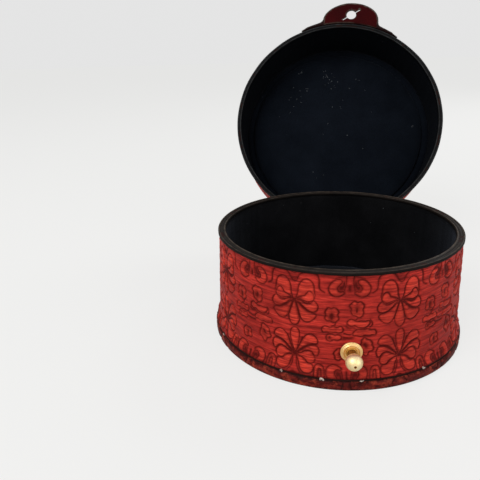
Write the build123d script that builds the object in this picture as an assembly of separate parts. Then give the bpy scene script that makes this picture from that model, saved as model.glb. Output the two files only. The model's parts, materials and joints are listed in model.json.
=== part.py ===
from build123d import *
import math
import os

# Round leather case: a straight-walled body on a flared foot, a deep slip-over lid on a leather
# strap at the back, and a flap that buttons on a brass stud in front.
# Millimetres. Z up, origin at the centre of the underside, hinge at +Y, closure at -Y.
# The lid is drawn closed and then swung open to the angle at which it rests on its strap.

# Layers
leather_t = 1.0
board_t = 1.8
lining_t = 0.6
lid_board_t = 1.4

# Body
body_h = 60.0
wall_top_r = 65.8        # leather outside, at the rim
wall_taper = 1.6         # wider by this where the foot starts to flare
foot_top_z = 16.0
foot_flare = 2.6         # wider again by this at the underside
base_h = 5.7             # underside to the top of the base board
sole_t = 0.8
sole_inset = 1.1
band_lift = 0.3          # base band above the table
joint_line = 1.0         # open line between the base band and the wall leather
foot_bulge = 0.7         # how far the cove of the foot sags from a straight line
band_edge = 0.4
seam_w = 0.7
seam_depth = 0.5

# Rim binding of the body
binding_t = 0.45
binding_drop = 1.4
binding_edge = 0.35

# Floor of the well
floor_gap = 0.4
floor_pad_t = 3.0
floor_crown = 0.9
floor_edge_t = 1.8
pad_bevel = 0.7          # bevel of a pad's edge, as a share of its thickness there

# Lid
lid_rim_z = 26.5         # lower edge of the closed lid
lid_top_gap = 0.3        # closed: pad above the body's rim
lid_pad_gap = 4.1        # round the pad, to the lid's lining
lid_pad_edge_t = 1.5
lid_pad_t = 3.2
lid_top_board_t = 2.0
lid_binding_t = 0.45
lid_binding_rise = 1.6
lid_edge = 0.7
crease_inset = 8.3       # blind-tooled ring on the top, from the lid's outside
crease_w = 0.8
crease_depth = 0.35

# Hinge
hinge_out = 3.2          # axis outside the closed lid's wall
hinge_up = 5.3           # axis above the closed lid's lower edge
swing_gap = 0.3
open_deg = 116.6
strap_t = 1.2
strap_half_deg = 14.5
strap_foot_z = 9.0
strap_top_z = 20.5
strap_lid_start = 9.0    # along the lid's wall, from its lower edge
strap_lid_length = 20.0
strap_lap = 0.6
strap_gap = 0.3
strap_corner_r = 3.0

# Closure
closure_deg = 6.0        # to the right of the point opposite the hinge
stud_z = 20.3
stud_sink = 0.35         # the flange beds into the leather
stud_seat_gap = 0.1
flange_r = 5.2
flange_t = 0.9
flange_chamfer = 0.36
step_r = 4.2
step_t = 0.6
dish_r = 3.3
dish_depth = 0.25
neck_r = 2.2
ball_r = 3.95
ball_out = 8.6           # seat to the centre of the ball
ball_dot_r = 0.45
screw_r = 1.2
screw_bore_gap = 0.06
screw_reach = 3.6        # into the stud, from its seat
screw_head_r = 3.8
screw_head_t = 0.8
screw_slot_w = 0.8
screw_slot_depth = 0.4
screw_head_gap = 0.15    # screw head to the back of the wall lining
washer_r = 4.8
washer_t = 0.4
screw_hole_gap = 0.3

# Flap
flap_half_w = 19.0
flap_side = 2.6          # straight part of its sides, from the lid's edge
flap_length = 15.8
flap_root_fillet = 2.2
flap_gap = 0.3
flap_hole_r = 3.4
flap_hole_drop = 6.2     # lid's lower edge to the centre of the hole
flap_slit_l = 13.6
flap_slit_w = 0.6
flap_slit_deg = 36.0
flap_lining_t = 0.6
flap_lining_inset = 0.7
flap_open_deg = 90.0

# Worked out from the sizes above
wall_foot_r = wall_top_r + wall_taper
foot_r = wall_foot_r + foot_flare
well_r = wall_top_r - leather_t - board_t - lining_t
binding_r = wall_top_r + binding_t
lid_wall_t = leather_t + lid_board_t + lining_t
pad_z = body_h + lid_top_gap
panel_z = pad_z + lid_pad_t
lid_board_z = panel_z + lining_t
lid_leather_z = lid_board_z + lid_top_board_t
lid_top_z = lid_leather_z + leather_t


def lid_clear_r():
    """Inside radius at which the front of the lid swings clear of the body's rim."""
    k = lid_wall_t + hinge_out
    rim = binding_r + swing_gap
    rise = body_h + swing_gap - lid_rim_z - hinge_up
    square = (rim - k) ** 2 + 3 * (rim ** 2 + 2 * k * rim + rise ** 2 - hinge_up ** 2)
    return (rim - k + math.sqrt(square)) / 3


lid_inner_r = lid_clear_r()
lid_outer_r = lid_inner_r + lid_wall_t
hinge_y = lid_outer_r + hinge_out
hinge_z = lid_rim_z + hinge_up
lid_pad_r = lid_inner_r - lid_pad_gap
crease_r = lid_outer_r - crease_inset
flap_r = lid_outer_r - leather_t - flap_lining_t


def wall_r(z):
    """Outside of the wall leather at a height above the foot."""
    share = (body_h - z) / (body_h - foot_top_z)
    return wall_top_r + (wall_foot_r - wall_top_r) * share


stud_seat_r = wall_r(stud_z) - stud_sink


def spin(face):
    """Turns a profile of (radius, height) into a round piece."""
    return revolve(Plane.XZ * face, Axis.Z)


def ring(r_in, r_out, z_low, z_high):
    return spin(Pos((r_in + r_out) / 2, (z_low + z_high) / 2) * Rectangle(r_out - r_in, z_high - z_low))


def disc(r, z_low, z_high):
    return Pos(0, 0, z_low) * Cylinder(r, z_high - z_low, align=(Align.CENTER, Align.CENTER, Align.MIN))


def radial(shape, height):
    """Moves a piece modelled along +Z so that it points outward at the closure."""
    return Rot(0, 0, closure_deg) * Pos(0, 0, height) * Rot(90, 0, 0) * shape


def foot_curve(off):
    """The flare of the foot as an arc, set in by off from the outside of the leather."""
    low = (foot_r - off, base_h + joint_line / 2)
    high = (wall_foot_r - off, foot_top_z)
    middle = ((low[0] + high[0]) / 2 - foot_bulge, (low[1] + high[1]) / 2 - foot_bulge)
    return low, high, ThreePointArc(low, middle, high)


def wall_profile(off_out, r_in, z_top):
    """Outer taper and foot flare, closed on a straight inside at r_in."""
    low, high, flare = foot_curve(off_out)
    top = (wall_r(z_top) - off_out, z_top)
    lines = [flare, Line(high, top), Line(top, (r_in, z_top)), Line((r_in, z_top), (r_in, low[1])),
             Line((r_in, low[1]), low)]
    return make_face(lines)


# Body pieces

def base_board():
    return disc(foot_r - leather_t, sole_t, base_h)


def base_sole():
    return disc(foot_r - sole_inset, 0, sole_t)


def base_band():
    r_in = foot_r - leather_t
    top = base_h - joint_line / 2
    profile = Pos((r_in + foot_r) / 2, (band_lift + top) / 2) * Rectangle(leather_t, top - band_lift)
    outer = profile.vertices().filter_by(lambda v: v.X > r_in + leather_t / 2)
    return spin(chamfer(outer, band_edge))


def body_shell():
    inner = well_r + lining_t
    top = body_h - binding_t
    shell = spin(wall_profile(leather_t, inner, top))
    foot = ring(inner, foot_r - leather_t, base_h, base_h + joint_line / 2)
    bore = radial(Cylinder(screw_r + screw_hole_gap, 3 * wall_foot_r), stud_z)
    seat = washer_seat_r()
    pocket = radial(Pos(0, 0, seat / 2) * Cylinder(washer_r + screw_hole_gap, seat), stud_z)
    front = radial(Pos(0, 0, wall_foot_r) * Box(4 * washer_r, 4 * washer_r, wall_foot_r), stud_z)
    return shell + foot - (bore & front) - (pocket & front)


def washer_seat_r():
    """Flat face inside the shell that the washer bears on."""
    return well_r + lining_t + washer_t + screw_head_t + screw_head_gap


def body_leather():
    z_top = body_h - binding_t
    skin = spin(wall_profile(0, 0, z_top)) - spin(wall_profile(leather_t, 0, z_top))
    back = Pos(0, wall_foot_r, body_h / 2) * Box(seam_w, 2 * (foot_r - wall_foot_r + leather_t), body_h)
    groove = back - spin(wall_profile(seam_depth, 0, z_top))
    seat = radial(Pos(0, 0, stud_seat_r + flange_r) * Cylinder(flange_r + stud_seat_gap, 2 * flange_r), stud_z)
    bore = radial(Pos(0, 0, wall_r(stud_z)) * Cylinder(screw_r + screw_hole_gap, 8 * leather_t), stud_z)
    return skin - groove - seat - bore


def rim_binding():
    r_in = well_r - binding_t
    outline = Pos((r_in + binding_r) / 2, body_h - binding_drop / 2) * Rectangle(binding_r - r_in, binding_drop)
    outline = chamfer(outline.vertices().group_by(Axis.Y)[-1], binding_edge)
    core = Pos((well_r + wall_top_r) / 2, body_h - binding_t - binding_drop / 2)
    return spin(outline - core * Rectangle(wall_top_r - well_r, binding_drop)) - spin(
        wall_profile(0, 0, body_h - binding_t))


def wall_lining():
    return ring(well_r, well_r + lining_t, base_h, body_h - binding_t)


def pad_profile(r, edge_t, crown_t, base):
    """Half section of a crowned pad that lies on base, thickest in the middle."""
    bevel = edge_t * pad_bevel
    side = (r, base + edge_t - bevel)
    shoulder = (r - bevel, base + edge_t)
    crown_r = (shoulder[0] ** 2 + (crown_t - edge_t) ** 2) / (2 * (crown_t - edge_t))
    half = shoulder[0] / 2
    mid = (half, base + crown_t - crown_r + math.sqrt(crown_r ** 2 - half ** 2))
    top = (0, base + crown_t)
    lines = [Line((0, base), (r, base)), Line((r, base), side), Line(side, shoulder),
             ThreePointArc(shoulder, mid, top), Line(top, (0, base))]
    return make_face(lines)


def floor_pad():
    r = well_r - floor_gap
    return spin(pad_profile(r, floor_edge_t, floor_pad_t + floor_crown, base_h))


# Stud

def stud():
    """Turned button: stepped, dished flange, neck and ball, bored for its screw."""
    top = flange_t + step_t
    neck_top = ball_out - math.sqrt(ball_r ** 2 - neck_r ** 2)
    profile = make_face([
        Line((0, 0), (flange_r, 0)), Line((flange_r, 0), (flange_r, flange_t - flange_chamfer)),
        Line((flange_r, flange_t - flange_chamfer), (flange_r - flange_chamfer, flange_t)),
        Line((flange_r - flange_chamfer, flange_t), (step_r, flange_t)),
        Line((step_r, flange_t), (step_r, top)), Line((step_r, top), (dish_r, top)),
        Line((dish_r, top), (neck_r + dish_depth, top - dish_depth)),
        Line((neck_r + dish_depth, top - dish_depth), (neck_r, top)),
        Line((neck_r, top), (neck_r, neck_top)),
        ThreePointArc((neck_r, neck_top), (ball_r, ball_out), (0, ball_out + ball_r)),
        Line((0, ball_out + ball_r), (0, 0))])
    turned = spin(profile)
    bore = Cylinder(screw_r + screw_bore_gap, 2 * (screw_reach + screw_bore_gap))
    dot = Pos(0, 0, ball_out + ball_r) * Sphere(ball_dot_r)
    return radial(Pos(0, 0, stud_seat_r) * (turned - bore - dot), stud_z)


def stud_washer():
    plate = Cylinder(washer_r, washer_t) - Cylinder(screw_r + screw_bore_gap, 2 * washer_t)
    return radial(Pos(0, 0, washer_seat_r() - washer_t / 2) * plate, stud_z)


def stud_screw():
    head_top = washer_seat_r() - washer_t
    reach = stud_seat_r + screw_reach - head_top
    shank = Cylinder(screw_r, reach, align=(Align.CENTER, Align.CENTER, Align.MIN))
    head = Pos(0, 0, -screw_head_t / 2) * Cylinder(screw_head_r, screw_head_t)
    slot = Pos(0, 0, -screw_head_t) * Box(3 * screw_head_r, screw_slot_w, 2 * screw_slot_depth)
    return radial(Pos(0, 0, head_top) * (shank + head - slot), stud_z)


# Lid, drawn closed

def lid_tube():
    return ring(lid_inner_r + lining_t, lid_outer_r - leather_t, lid_rim_z + lid_binding_t, lid_board_z)


def lid_board():
    return disc(lid_outer_r - leather_t, lid_board_z, lid_leather_z)


def lid_wall_leather():
    return ring(lid_outer_r - leather_t, lid_outer_r, lid_rim_z + lid_binding_rise, lid_leather_z)


def lid_top_leather():
    plate = disc(lid_outer_r, lid_leather_z, lid_top_z)
    plate = chamfer(plate.edges().group_by(Axis.Z)[-1], lid_edge)
    crease = ring(crease_r - crease_w / 2, crease_r + crease_w / 2, lid_top_z - crease_depth, lid_top_z + leather_t)
    return plate - crease


def lid_rim_binding():
    """Turned-over edge of the lid, from the outside leather round to the lining."""
    z_high = lid_rim_z + lid_binding_rise
    outline = Pos((lid_inner_r + lid_outer_r) / 2, (lid_rim_z + z_high) / 2) * Rectangle(
        lid_wall_t, lid_binding_rise)
    outline = chamfer(outline.vertices().group_by(Axis.Y)[0], binding_edge)
    core_in = lid_inner_r + lining_t
    core_out = lid_outer_r - leather_t
    core = Pos((core_in + core_out) / 2, lid_rim_z + lid_binding_t + lid_binding_rise / 2) * Rectangle(
        core_out - core_in, lid_binding_rise)
    return spin(outline - core)


def lid_wall_lining():
    return ring(lid_inner_r, lid_inner_r + lining_t, lid_rim_z + lid_binding_rise, panel_z)


def lid_panel_lining():
    return disc(lid_inner_r + lining_t, panel_z, lid_board_z)


def lid_pad():
    face = pad_profile(lid_pad_r, lid_pad_edge_t, lid_pad_t, 0)
    return Pos(0, 0, panel_z) * Rot(180, 0, 0) * spin(face)


# Flap, drawn hanging from the closed lid

def flap_outline(inset, root):
    """Flat pattern, x across and y up, with the lid's lower edge at y = 0."""
    half = flap_half_w - inset
    tip = flap_length - flap_side - inset
    body = Pos(0, -(root + flap_side) / 2) * Rectangle(2 * half, flap_side - root)
    end = Pos(0, -flap_side) * Ellipse(half, tip)
    flares = Sketch()
    for side in (-1, 1):
        corner = Pos(side * (half + flap_root_fillet / 2), -root - flap_root_fillet / 2)
        square = corner * Rectangle(flap_root_fillet, flap_root_fillet)
        scoop = Pos(side * (half + flap_root_fillet), -root - flap_root_fillet) * Circle(flap_root_fillet)
        flares += square - scoop
    above = Pos(0, flap_length / 2 - root) * Rectangle(4 * flap_half_w, flap_length)
    return body + end + flares - above


def flap_layer(inset, r_in, r_out):
    root = flap_gap
    slit = Rot(0, 0, flap_slit_deg) * Rectangle(flap_slit_l, flap_slit_w)
    cut = Pos(0, -flap_hole_drop) * (Circle(flap_hole_r) + slit)
    pattern = flap_outline(inset, root) - cut
    block = Pos(0, 0, r_in - lid_outer_r / 2) * extrude(pattern, lid_outer_r)
    shell = ring(r_in, r_out, lid_rim_z - 2 * flap_length, lid_rim_z)
    return radial(block, lid_rim_z) & shell


def closing_flap():
    return flap_layer(0, flap_r + flap_lining_t, lid_outer_r)


def flap_lining():
    return flap_layer(flap_lining_inset, flap_r, flap_r + flap_lining_t)


# Hinge strap

def turned(y, z, degrees):
    """A point of the middle section after the lid opens by degrees."""
    a = math.radians(degrees)
    dy, dz = y - hinge_y, z - hinge_z
    return hinge_y + dy * math.cos(a) + dz * math.sin(a), hinge_z - dy * math.sin(a) + dz * math.cos(a)


def strap_end():
    """Where the free part of the strap meets the lid's leaf, on its centre line."""
    a = math.radians(open_deg)
    y, z = turned(lid_outer_r + strap_t / 2, lid_rim_z + strap_lid_start, open_deg)
    along = (math.sin(a), math.cos(a))
    off = strap_t / 2 + strap_gap + strap_t / 6
    return y + strap_lap * along[0] + off * math.cos(a), z + strap_lap * along[1] - off * math.sin(a)


def offset_point(p, q, d):
    """The point p moved by d to the right of the way from p to q."""
    length = math.dist(p, q)
    return p[0] + d * (q[1] - p[1]) / length, p[1] - d * (q[0] - p[0]) / length


def sector(solid, half_deg):
    """Keeps the part of a round piece that lies within half_deg of the hinge."""
    reach = 2 * foot_r
    a = math.radians(half_deg)
    wedge = make_face(Polyline((0, 0), (reach * math.sin(a), reach * math.cos(a)),
                               (-reach * math.sin(a), reach * math.cos(a)), close=True))
    return solid & extrude(wedge, 3 * body_h)


def hinge_strap_body():
    """Leaf stitched to the foot and wall, and the free part that the open lid hangs on."""
    core = spin(wall_profile(0, 0, strap_top_z + 2 * strap_t))
    skin = spin(wall_profile(-strap_t, 0, strap_top_z + strap_t)) - core
    leaf = skin & ring(wall_top_r - leather_t, foot_r + 2 * strap_t, strap_foot_z, strap_top_z)
    start = (wall_r(strap_top_z) + strap_t / 2, strap_top_z)
    end = strap_end()
    h = strap_t / 2
    corner = (wall_r(strap_top_z), strap_top_z - strap_t)
    free = make_face(Polyline(corner, offset_point(start, end, h), offset_point(end, start, -h),
                              offset_point(end, start, h), (wall_r(strap_top_z), strap_top_z + h), close=True))
    return sector(leaf + (spin(free) - core), strap_half_deg)


def hinge_strap_lid():
    low = lid_rim_z + strap_lid_start
    leaf = ring(lid_outer_r, lid_outer_r + strap_t, low, low + strap_lid_length)
    leaf = sector(leaf, strap_half_deg * wall_foot_r / lid_outer_r)
    upper = leaf.edges().filter_by(lambda e: e.length < 2 * strap_t).group_by(Axis.Z)[-1]
    return fillet(upper, strap_corner_r)


def open_lid(shape):
    return shape.rotate(Axis((0, hinge_y, hinge_z), (-1, 0, 0)), open_deg)


def lift_flap(shape):
    a = math.radians(closure_deg)
    pin = (lid_outer_r * math.sin(a), -lid_outer_r * math.cos(a), lid_rim_z)
    return shape.rotate(Axis(pin, (-math.cos(a), -math.sin(a), 0)), flap_open_deg)


body_nodes = {
    "base_board": base_board, "base_sole": base_sole, "base_band": base_band, "body_shell": body_shell,
    "body_leather": body_leather, "rim_binding": rim_binding, "wall_lining": wall_lining,
    "floor_pad": floor_pad, "stud": stud, "stud_washer": stud_washer, "stud_screw": stud_screw,
    "hinge_strap_body": hinge_strap_body,
}
lid_nodes = {
    "lid_tube": lid_tube, "lid_board": lid_board, "lid_wall_leather": lid_wall_leather,
    "lid_top_leather": lid_top_leather, "lid_rim_binding": lid_rim_binding,
    "lid_wall_lining": lid_wall_lining, "lid_panel_lining": lid_panel_lining, "lid_pad": lid_pad,
    "hinge_strap_lid": hinge_strap_lid,
}
flap_nodes = {"closing_flap": closing_flap, "flap_lining": flap_lining}

os.makedirs("parts", exist_ok=True)
for name, make in body_nodes.items():
    export_step(make(), f"parts/{name}.step")
for name, make in lid_nodes.items():
    export_step(open_lid(make()), f"parts/{name}.step")
for name, make in flap_nodes.items():
    export_step(open_lid(lift_flap(make())), f"parts/{name}.step")
print(f"lid inside radius {lid_inner_r:.3f}, outside {lid_outer_r:.3f}, axis y {hinge_y:.3f} z {hinge_z:.3f}")
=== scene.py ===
import json
import math
import bmesh
import bpy
import numpy as np
from mathutils import Matrix, Vector
from mathutils.geometry import delaunay_2d_cdt


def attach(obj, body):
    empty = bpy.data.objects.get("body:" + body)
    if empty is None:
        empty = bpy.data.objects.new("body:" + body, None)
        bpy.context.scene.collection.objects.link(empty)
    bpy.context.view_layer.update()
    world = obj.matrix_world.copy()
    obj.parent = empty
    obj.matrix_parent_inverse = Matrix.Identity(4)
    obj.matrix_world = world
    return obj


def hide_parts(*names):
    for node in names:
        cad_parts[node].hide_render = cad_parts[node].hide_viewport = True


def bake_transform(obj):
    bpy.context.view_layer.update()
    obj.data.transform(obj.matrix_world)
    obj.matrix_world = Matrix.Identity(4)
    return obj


# Looks of a round tooled-leather case: leather, velvet, brass, strap and flap round the fixed frame.
# Sizes are millimetres until a mesh is made. The lid is drawn closed and swung open with its hinge.

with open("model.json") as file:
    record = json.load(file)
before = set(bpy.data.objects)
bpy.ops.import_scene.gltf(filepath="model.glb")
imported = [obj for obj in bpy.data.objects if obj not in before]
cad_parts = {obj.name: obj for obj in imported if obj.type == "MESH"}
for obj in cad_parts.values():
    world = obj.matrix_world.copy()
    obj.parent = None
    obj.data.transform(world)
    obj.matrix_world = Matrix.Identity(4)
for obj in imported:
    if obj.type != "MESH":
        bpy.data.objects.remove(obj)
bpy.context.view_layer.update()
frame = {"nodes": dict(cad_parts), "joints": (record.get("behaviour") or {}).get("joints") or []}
mm = 0.001
joints = {joint["name"]: joint for joint in frame["joints"]}


# The lid's swing and the flap's bend, from the frame

hinge = joints["lid_hinge"]
hingeY = hinge["pos_m"][1] / mm
hingeZ = hinge["pos_m"][2] / mm
openAngle = -math.radians(hinge["range_deg"][0])


def swing(points, angle):
    y = points[..., 1] - hingeY
    z = points[..., 2] - hingeZ
    c, s = math.cos(angle), math.sin(angle)
    return np.stack([points[..., 0], hingeY + y * c + z * s, hingeZ - y * s + z * c], -1)


def openLid(points):
    return swing(np.asarray(points, float), openAngle)


def asDrawn(points):
    return np.asarray(points, float)


def nodePoints(name, closed=False):
    points = np.array([v.co for v in frame["nodes"][name].data.vertices], float) / mm
    return swing(points, -openAngle) if closed else points


def ringSize(name, closed=False):
    points = nodePoints(name, closed)
    r = np.hypot(points[:, 0], points[:, 1])
    return {"inner": r.min(), "outer": r.max(), "low": points[:, 2].min(), "high": points[:, 2].max()}


def outerProfile(name):
    # outside radius by height, away from the butt seam and the stud's seat
    points = nodePoints(name)
    turn = np.degrees(np.arctan2(points[:, 0], -points[:, 1]))
    points = points[(abs(turn) < 170) & (abs(turn - 6) > 6)]
    r = np.hypot(points[:, 0], points[:, 1])
    heights = np.unique(points[:, 2].round(1))
    radii = np.array([r[abs(points[:, 2] - z) < 0.06].max() for z in heights])
    between = np.interp(heights[1:-1], heights[[0, -1]], radii[[0, -1]])
    for i in range(1, len(heights) - 1):
        share = (heights[i] - heights[i - 1]) / (heights[i + 1] - heights[i - 1])
        between[i - 1] = radii[i - 1] * (1 - share) + radii[i + 1] * share
    kept = np.r_[True, radii[1:-1] > between - 0.35, True]
    return heights[kept], radii[kept]


wallHeights, wallRadii = outerProfile("body_leather")
bodyLeather = ringSize("body_leather")
bandSize = ringSize("base_band")
rimSize = ringSize("rim_binding")
wallVelvetSize = ringSize("wall_lining")
floorPadSize = ringSize("floor_pad")
lidLeather = ringSize("lid_wall_leather", True)
lidTop = ringSize("lid_top_leather", True)
lidRim = ringSize("lid_rim_binding", True)
lidVelvetSize = ringSize("lid_wall_lining", True)
lidPadSize = ringSize("lid_pad", True)


def wallRadius(z):
    return np.interp(z, wallHeights, wallRadii)


# Meshes

def makePiece(name, points, faces, material, place=asDrawn, smooth=True):
    mesh = bpy.data.meshes.new(name)
    mesh.from_pydata((place(points) * mm).tolist(), [], faces)
    mesh.update()
    shape = bmesh.new()
    shape.from_mesh(mesh)
    if shape.calc_volume(signed=True) < 0:      # faces point outwards
        mesh.flip_normals()
    shape.free()
    mesh.polygons.foreach_set("use_smooth", [smooth] * len(mesh.polygons))
    piece = bpy.data.objects.new(name, mesh)
    bpy.context.scene.collection.objects.link(piece)
    mesh.materials.append(material)
    return piece


def dress(piece, nodeName, body):
    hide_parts(nodeName)
    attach(piece, body)


def addValues(piece, name, values):
    layer = piece.data.attributes.new(name, "FLOAT", "POINT")
    layer.data.foreach_set("value", np.asarray(values, np.float32))


def addSheetMap(piece, flat):
    layer = piece.data.uv_layers.new(name="sheet")
    corners = np.zeros(len(piece.data.loops), np.int32)
    piece.data.loops.foreach_get("vertex_index", corners)
    layer.data.foreach_set("uv", (np.asarray(flat, float)[corners] * mm).astype(np.float32).ravel())


def ringFaces(low, high, steps):
    # quads between two rings of points that start at these numbers
    return [(low + j, low + (j + 1) % steps, high + (j + 1) % steps, high + j) for j in range(steps)]


def lathe(name, profile, material, steps=256, place=asDrawn, wobble=None):
    ring = len(profile)
    turn = np.linspace(0, 2 * math.pi, steps, endpoint=False)
    r = np.array([p[0] for p in profile])[:, None] + np.zeros(steps)
    z = np.array([p[1] for p in profile])[:, None] + np.zeros(steps)
    if wobble:
        shiftR, shiftZ = wobble(turn)
        r = r + shiftR
        z = z + shiftZ
    points = np.stack([r * np.sin(turn), -r * np.cos(turn), z], -1).reshape(-1, 3)
    faces = [face for i in range(ring) for face in ringFaces(i * steps, ((i + 1) % ring) * steps, steps)]
    return makePiece(name, points, faces, material, place)


def waves(turn, seed, size, parts=5):
    rng = np.random.RandomState(seed)
    total = np.zeros_like(turn)
    for k in range(2, 2 + parts):
        total += rng.normal() * np.cos(k * turn + rng.uniform(0, 2 * math.pi)) / parts ** 0.5
    return size * total


# Materials

def newMaterial(name):
    material = bpy.data.materials.new(name)
    material.use_nodes = True
    tree = material.node_tree
    tree.nodes.clear()
    output = tree.nodes.new("ShaderNodeOutputMaterial")
    shader = tree.nodes.new("ShaderNodeBsdfPrincipled")
    tree.links.new(shader.outputs["BSDF"], output.inputs["Surface"])
    return material, tree, shader


def node(tree, kind, values=None, **settings):
    made = tree.nodes.new(kind)
    for key, value in settings.items():
        setattr(made, key, value)
    setInputs(tree, made, values or {})
    return made


def objectPlace(tree):
    return node(tree, "ShaderNodeTexCoord").outputs["Object"]


def attribute(tree, name):
    return node(tree, "ShaderNodeAttribute", attribute_name=name).outputs["Fac"]


def setInputs(tree, shader, values):
    for key, value in values.items():
        if isinstance(value, bpy.types.NodeSocket):
            tree.links.new(value, shader.inputs[key])
        else:
            shader.inputs[key].default_value = value


def ramp(tree, factor, stops):
    made = node(tree, "ShaderNodeValToRGB", {"Fac": factor})
    while len(made.color_ramp.elements) < len(stops):
        made.color_ramp.elements.new(0.5)
    for element, (place, color) in zip(made.color_ramp.elements, stops):
        element.position = place
        element.color = (*color, 1) if len(color) == 3 else color
    return made.outputs["Color"]


def grey(value):
    return (value, value, value)


def blendColors(tree, factor, first, second, kind="MIX"):
    made = node(tree, "ShaderNodeMix", data_type="RGBA", blend_type=kind)
    for socket, value in ((0, factor), (6, first), (7, second)):
        if isinstance(value, bpy.types.NodeSocket):
            tree.links.new(value, made.inputs[socket])
        else:
            made.inputs[socket].default_value = value if socket == 0 else (*value, 1)
    return made.outputs[2]


def noise(tree, vector, scale, detail=4.0, roughness=0.55):
    values = {"Vector": vector, "Scale": scale, "Detail": detail, "Roughness": roughness}
    return node(tree, "ShaderNodeTexNoise", values).outputs["Fac"]


def stretched(tree, vector, scale):
    return node(tree, "ShaderNodeMapping", {"Vector": vector, "Scale": scale}).outputs["Vector"]


def bump(tree, height, strength, distance, normal=None):
    values = {"Height": height, "Strength": strength, "Distance": distance}
    if normal:
        values["Normal"] = normal
    return node(tree, "ShaderNodeBump", values).outputs["Normal"]


tooledLook = {
    # each pair is a dull and a fresh colour: crimson between the motifs, more orange on them
    "ground": ((0.185, 0.0100, 0.0080), (0.640, 0.0400, 0.0275)),
    "petal": ((0.230, 0.0125, 0.0095), (0.780, 0.0600, 0.0340)),
    "line": (0.068, 0.0028, 0.0018),
    "rubbedAndSheen": (0.64, 0.080, 0.050),
    "streaks": ((55, 620, 1), (120, 1500, 1)),
    "bands": (11, 140, 1),
    "pale": (0.36, 0.048, 0.024),           # mottling of the base band
    "dark": (0.022, 0.0055, 0.0045),
    "patchScale": 28,
    "grainScale": 1500,
    "roughness": (0.36, 0.58),
    "specular": 0.075,
}


def tooledLeather(name, shade=grey(1.0), mottled=0.0):
    look = tooledLook
    material, tree, shader = newMaterial(name)
    sheet = node(tree, "ShaderNodeUVMap", uv_map="sheet").outputs["UV"]
    place = objectPlace(tree)
    line = attribute(tree, "line")
    raised = attribute(tree, "raised")
    broad, fineStreaks = (noise(tree, stretched(tree, sheet, scale), 1.0, 4.0, 0.6)
                          for scale in look["streaks"])
    streaks = node(tree, "ShaderNodeMath", {0: broad, 1: fineStreaks}, operation="ADD").outputs[0]
    streaks = node(tree, "ShaderNodeMath", {0: streaks, 1: 0.5}, operation="MULTIPLY").outputs[0]
    patches = noise(tree, place, look["patchScale"], 3.0)
    ground, petal = (ramp(tree, streaks, [(0.40, low), (0.60, high)])
                     for low, high in (look["ground"], look["petal"]))
    dyed = blendColors(tree, raised, ground, petal)
    # the brightest streaks turn to the rubbed colour: partly wear, partly painted sheen
    worn = ramp(tree, streaks, [(0.57, grey(0.0)), (0.66, grey(0.6))])
    dyed = blendColors(tree, worn, dyed, look["rubbedAndSheen"])
    # broad horizontal bands of lighter and darker tone: partly wear, partly painted light and shade
    bands = noise(tree, stretched(tree, sheet, look["bands"]), 1.0, 3.0)
    banded = ramp(tree, bands, [(0.36, grey(0.78)), (0.58, grey(1.0))])
    dyed = blendColors(tree, 1.0, dyed, banded, "MULTIPLY")
    dulled = ramp(tree, patches, [(0.38, grey(0.0)), (0.72, grey(0.45))])
    dyed = blendColors(tree, dulled, dyed, look["ground"][0])
    faded = ramp(tree, noise(tree, sheet, 95, 3.0, 0.6), [(0.36, grey(0.45)), (0.58, grey(1.0))])
    # darkness of the tooled lines; on the walls it also carries the painted shade along the edges
    inked = ramp(tree, line, [(0.08, grey(0)), (0.45, grey(0.42)), (0.75, grey(0.86)), (0.95, grey(0.97))])
    inked = blendColors(tree, 1.0, inked, faded, "MULTIPLY")
    inked = blendColors(tree, 1.0, inked, ramp(tree, line, [(0.72, grey(0)), (0.90, grey(0.95))]), "LIGHTEN")
    color = blendColors(tree, inked, dyed, look["line"])
    # a whole-colour multiply; on the base band it is partly a browner leather, partly painted shade
    tone = blendColors(tree, 1.0, color, shade, "MULTIPLY")
    if mottled:
        mottle = noise(tree, place, 240, 4.0, 0.65)
        high = ramp(tree, mottle, [(0.50, grey(0)), (0.66, grey(mottled))])
        low = ramp(tree, mottle, [(0.34, grey(mottled)), (0.46, grey(0))])
        tone = blendColors(tree, low, blendColors(tree, high, tone, look["pale"]), look["dark"])
    tree.links.new(tone, shader.inputs["Base Color"])
    low, high = look["roughness"]
    rough = ramp(tree, patches, [(0.30, grey(low)), (0.75, grey(high))])
    tree.links.new(blendColors(tree, inked, rough, grey(0.62)), shader.inputs["Roughness"])
    grain = noise(tree, place, look["grainScale"], 3.0, 0.6)
    pores = node(tree, "ShaderNodeTexVoronoi", {"Vector": place, "Scale": look["grainScale"] * 0.75})
    fine = bump(tree, pores.outputs["Distance"], 0.25, 0.00008)
    fine = bump(tree, grain, 0.35, 0.00010, fine)
    tree.links.new(bump(tree, streaks, 0.45, 0.00022, fine), shader.inputs["Normal"])
    shader.inputs["Specular IOR Level"].default_value = look["specular"]
    return material


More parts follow.
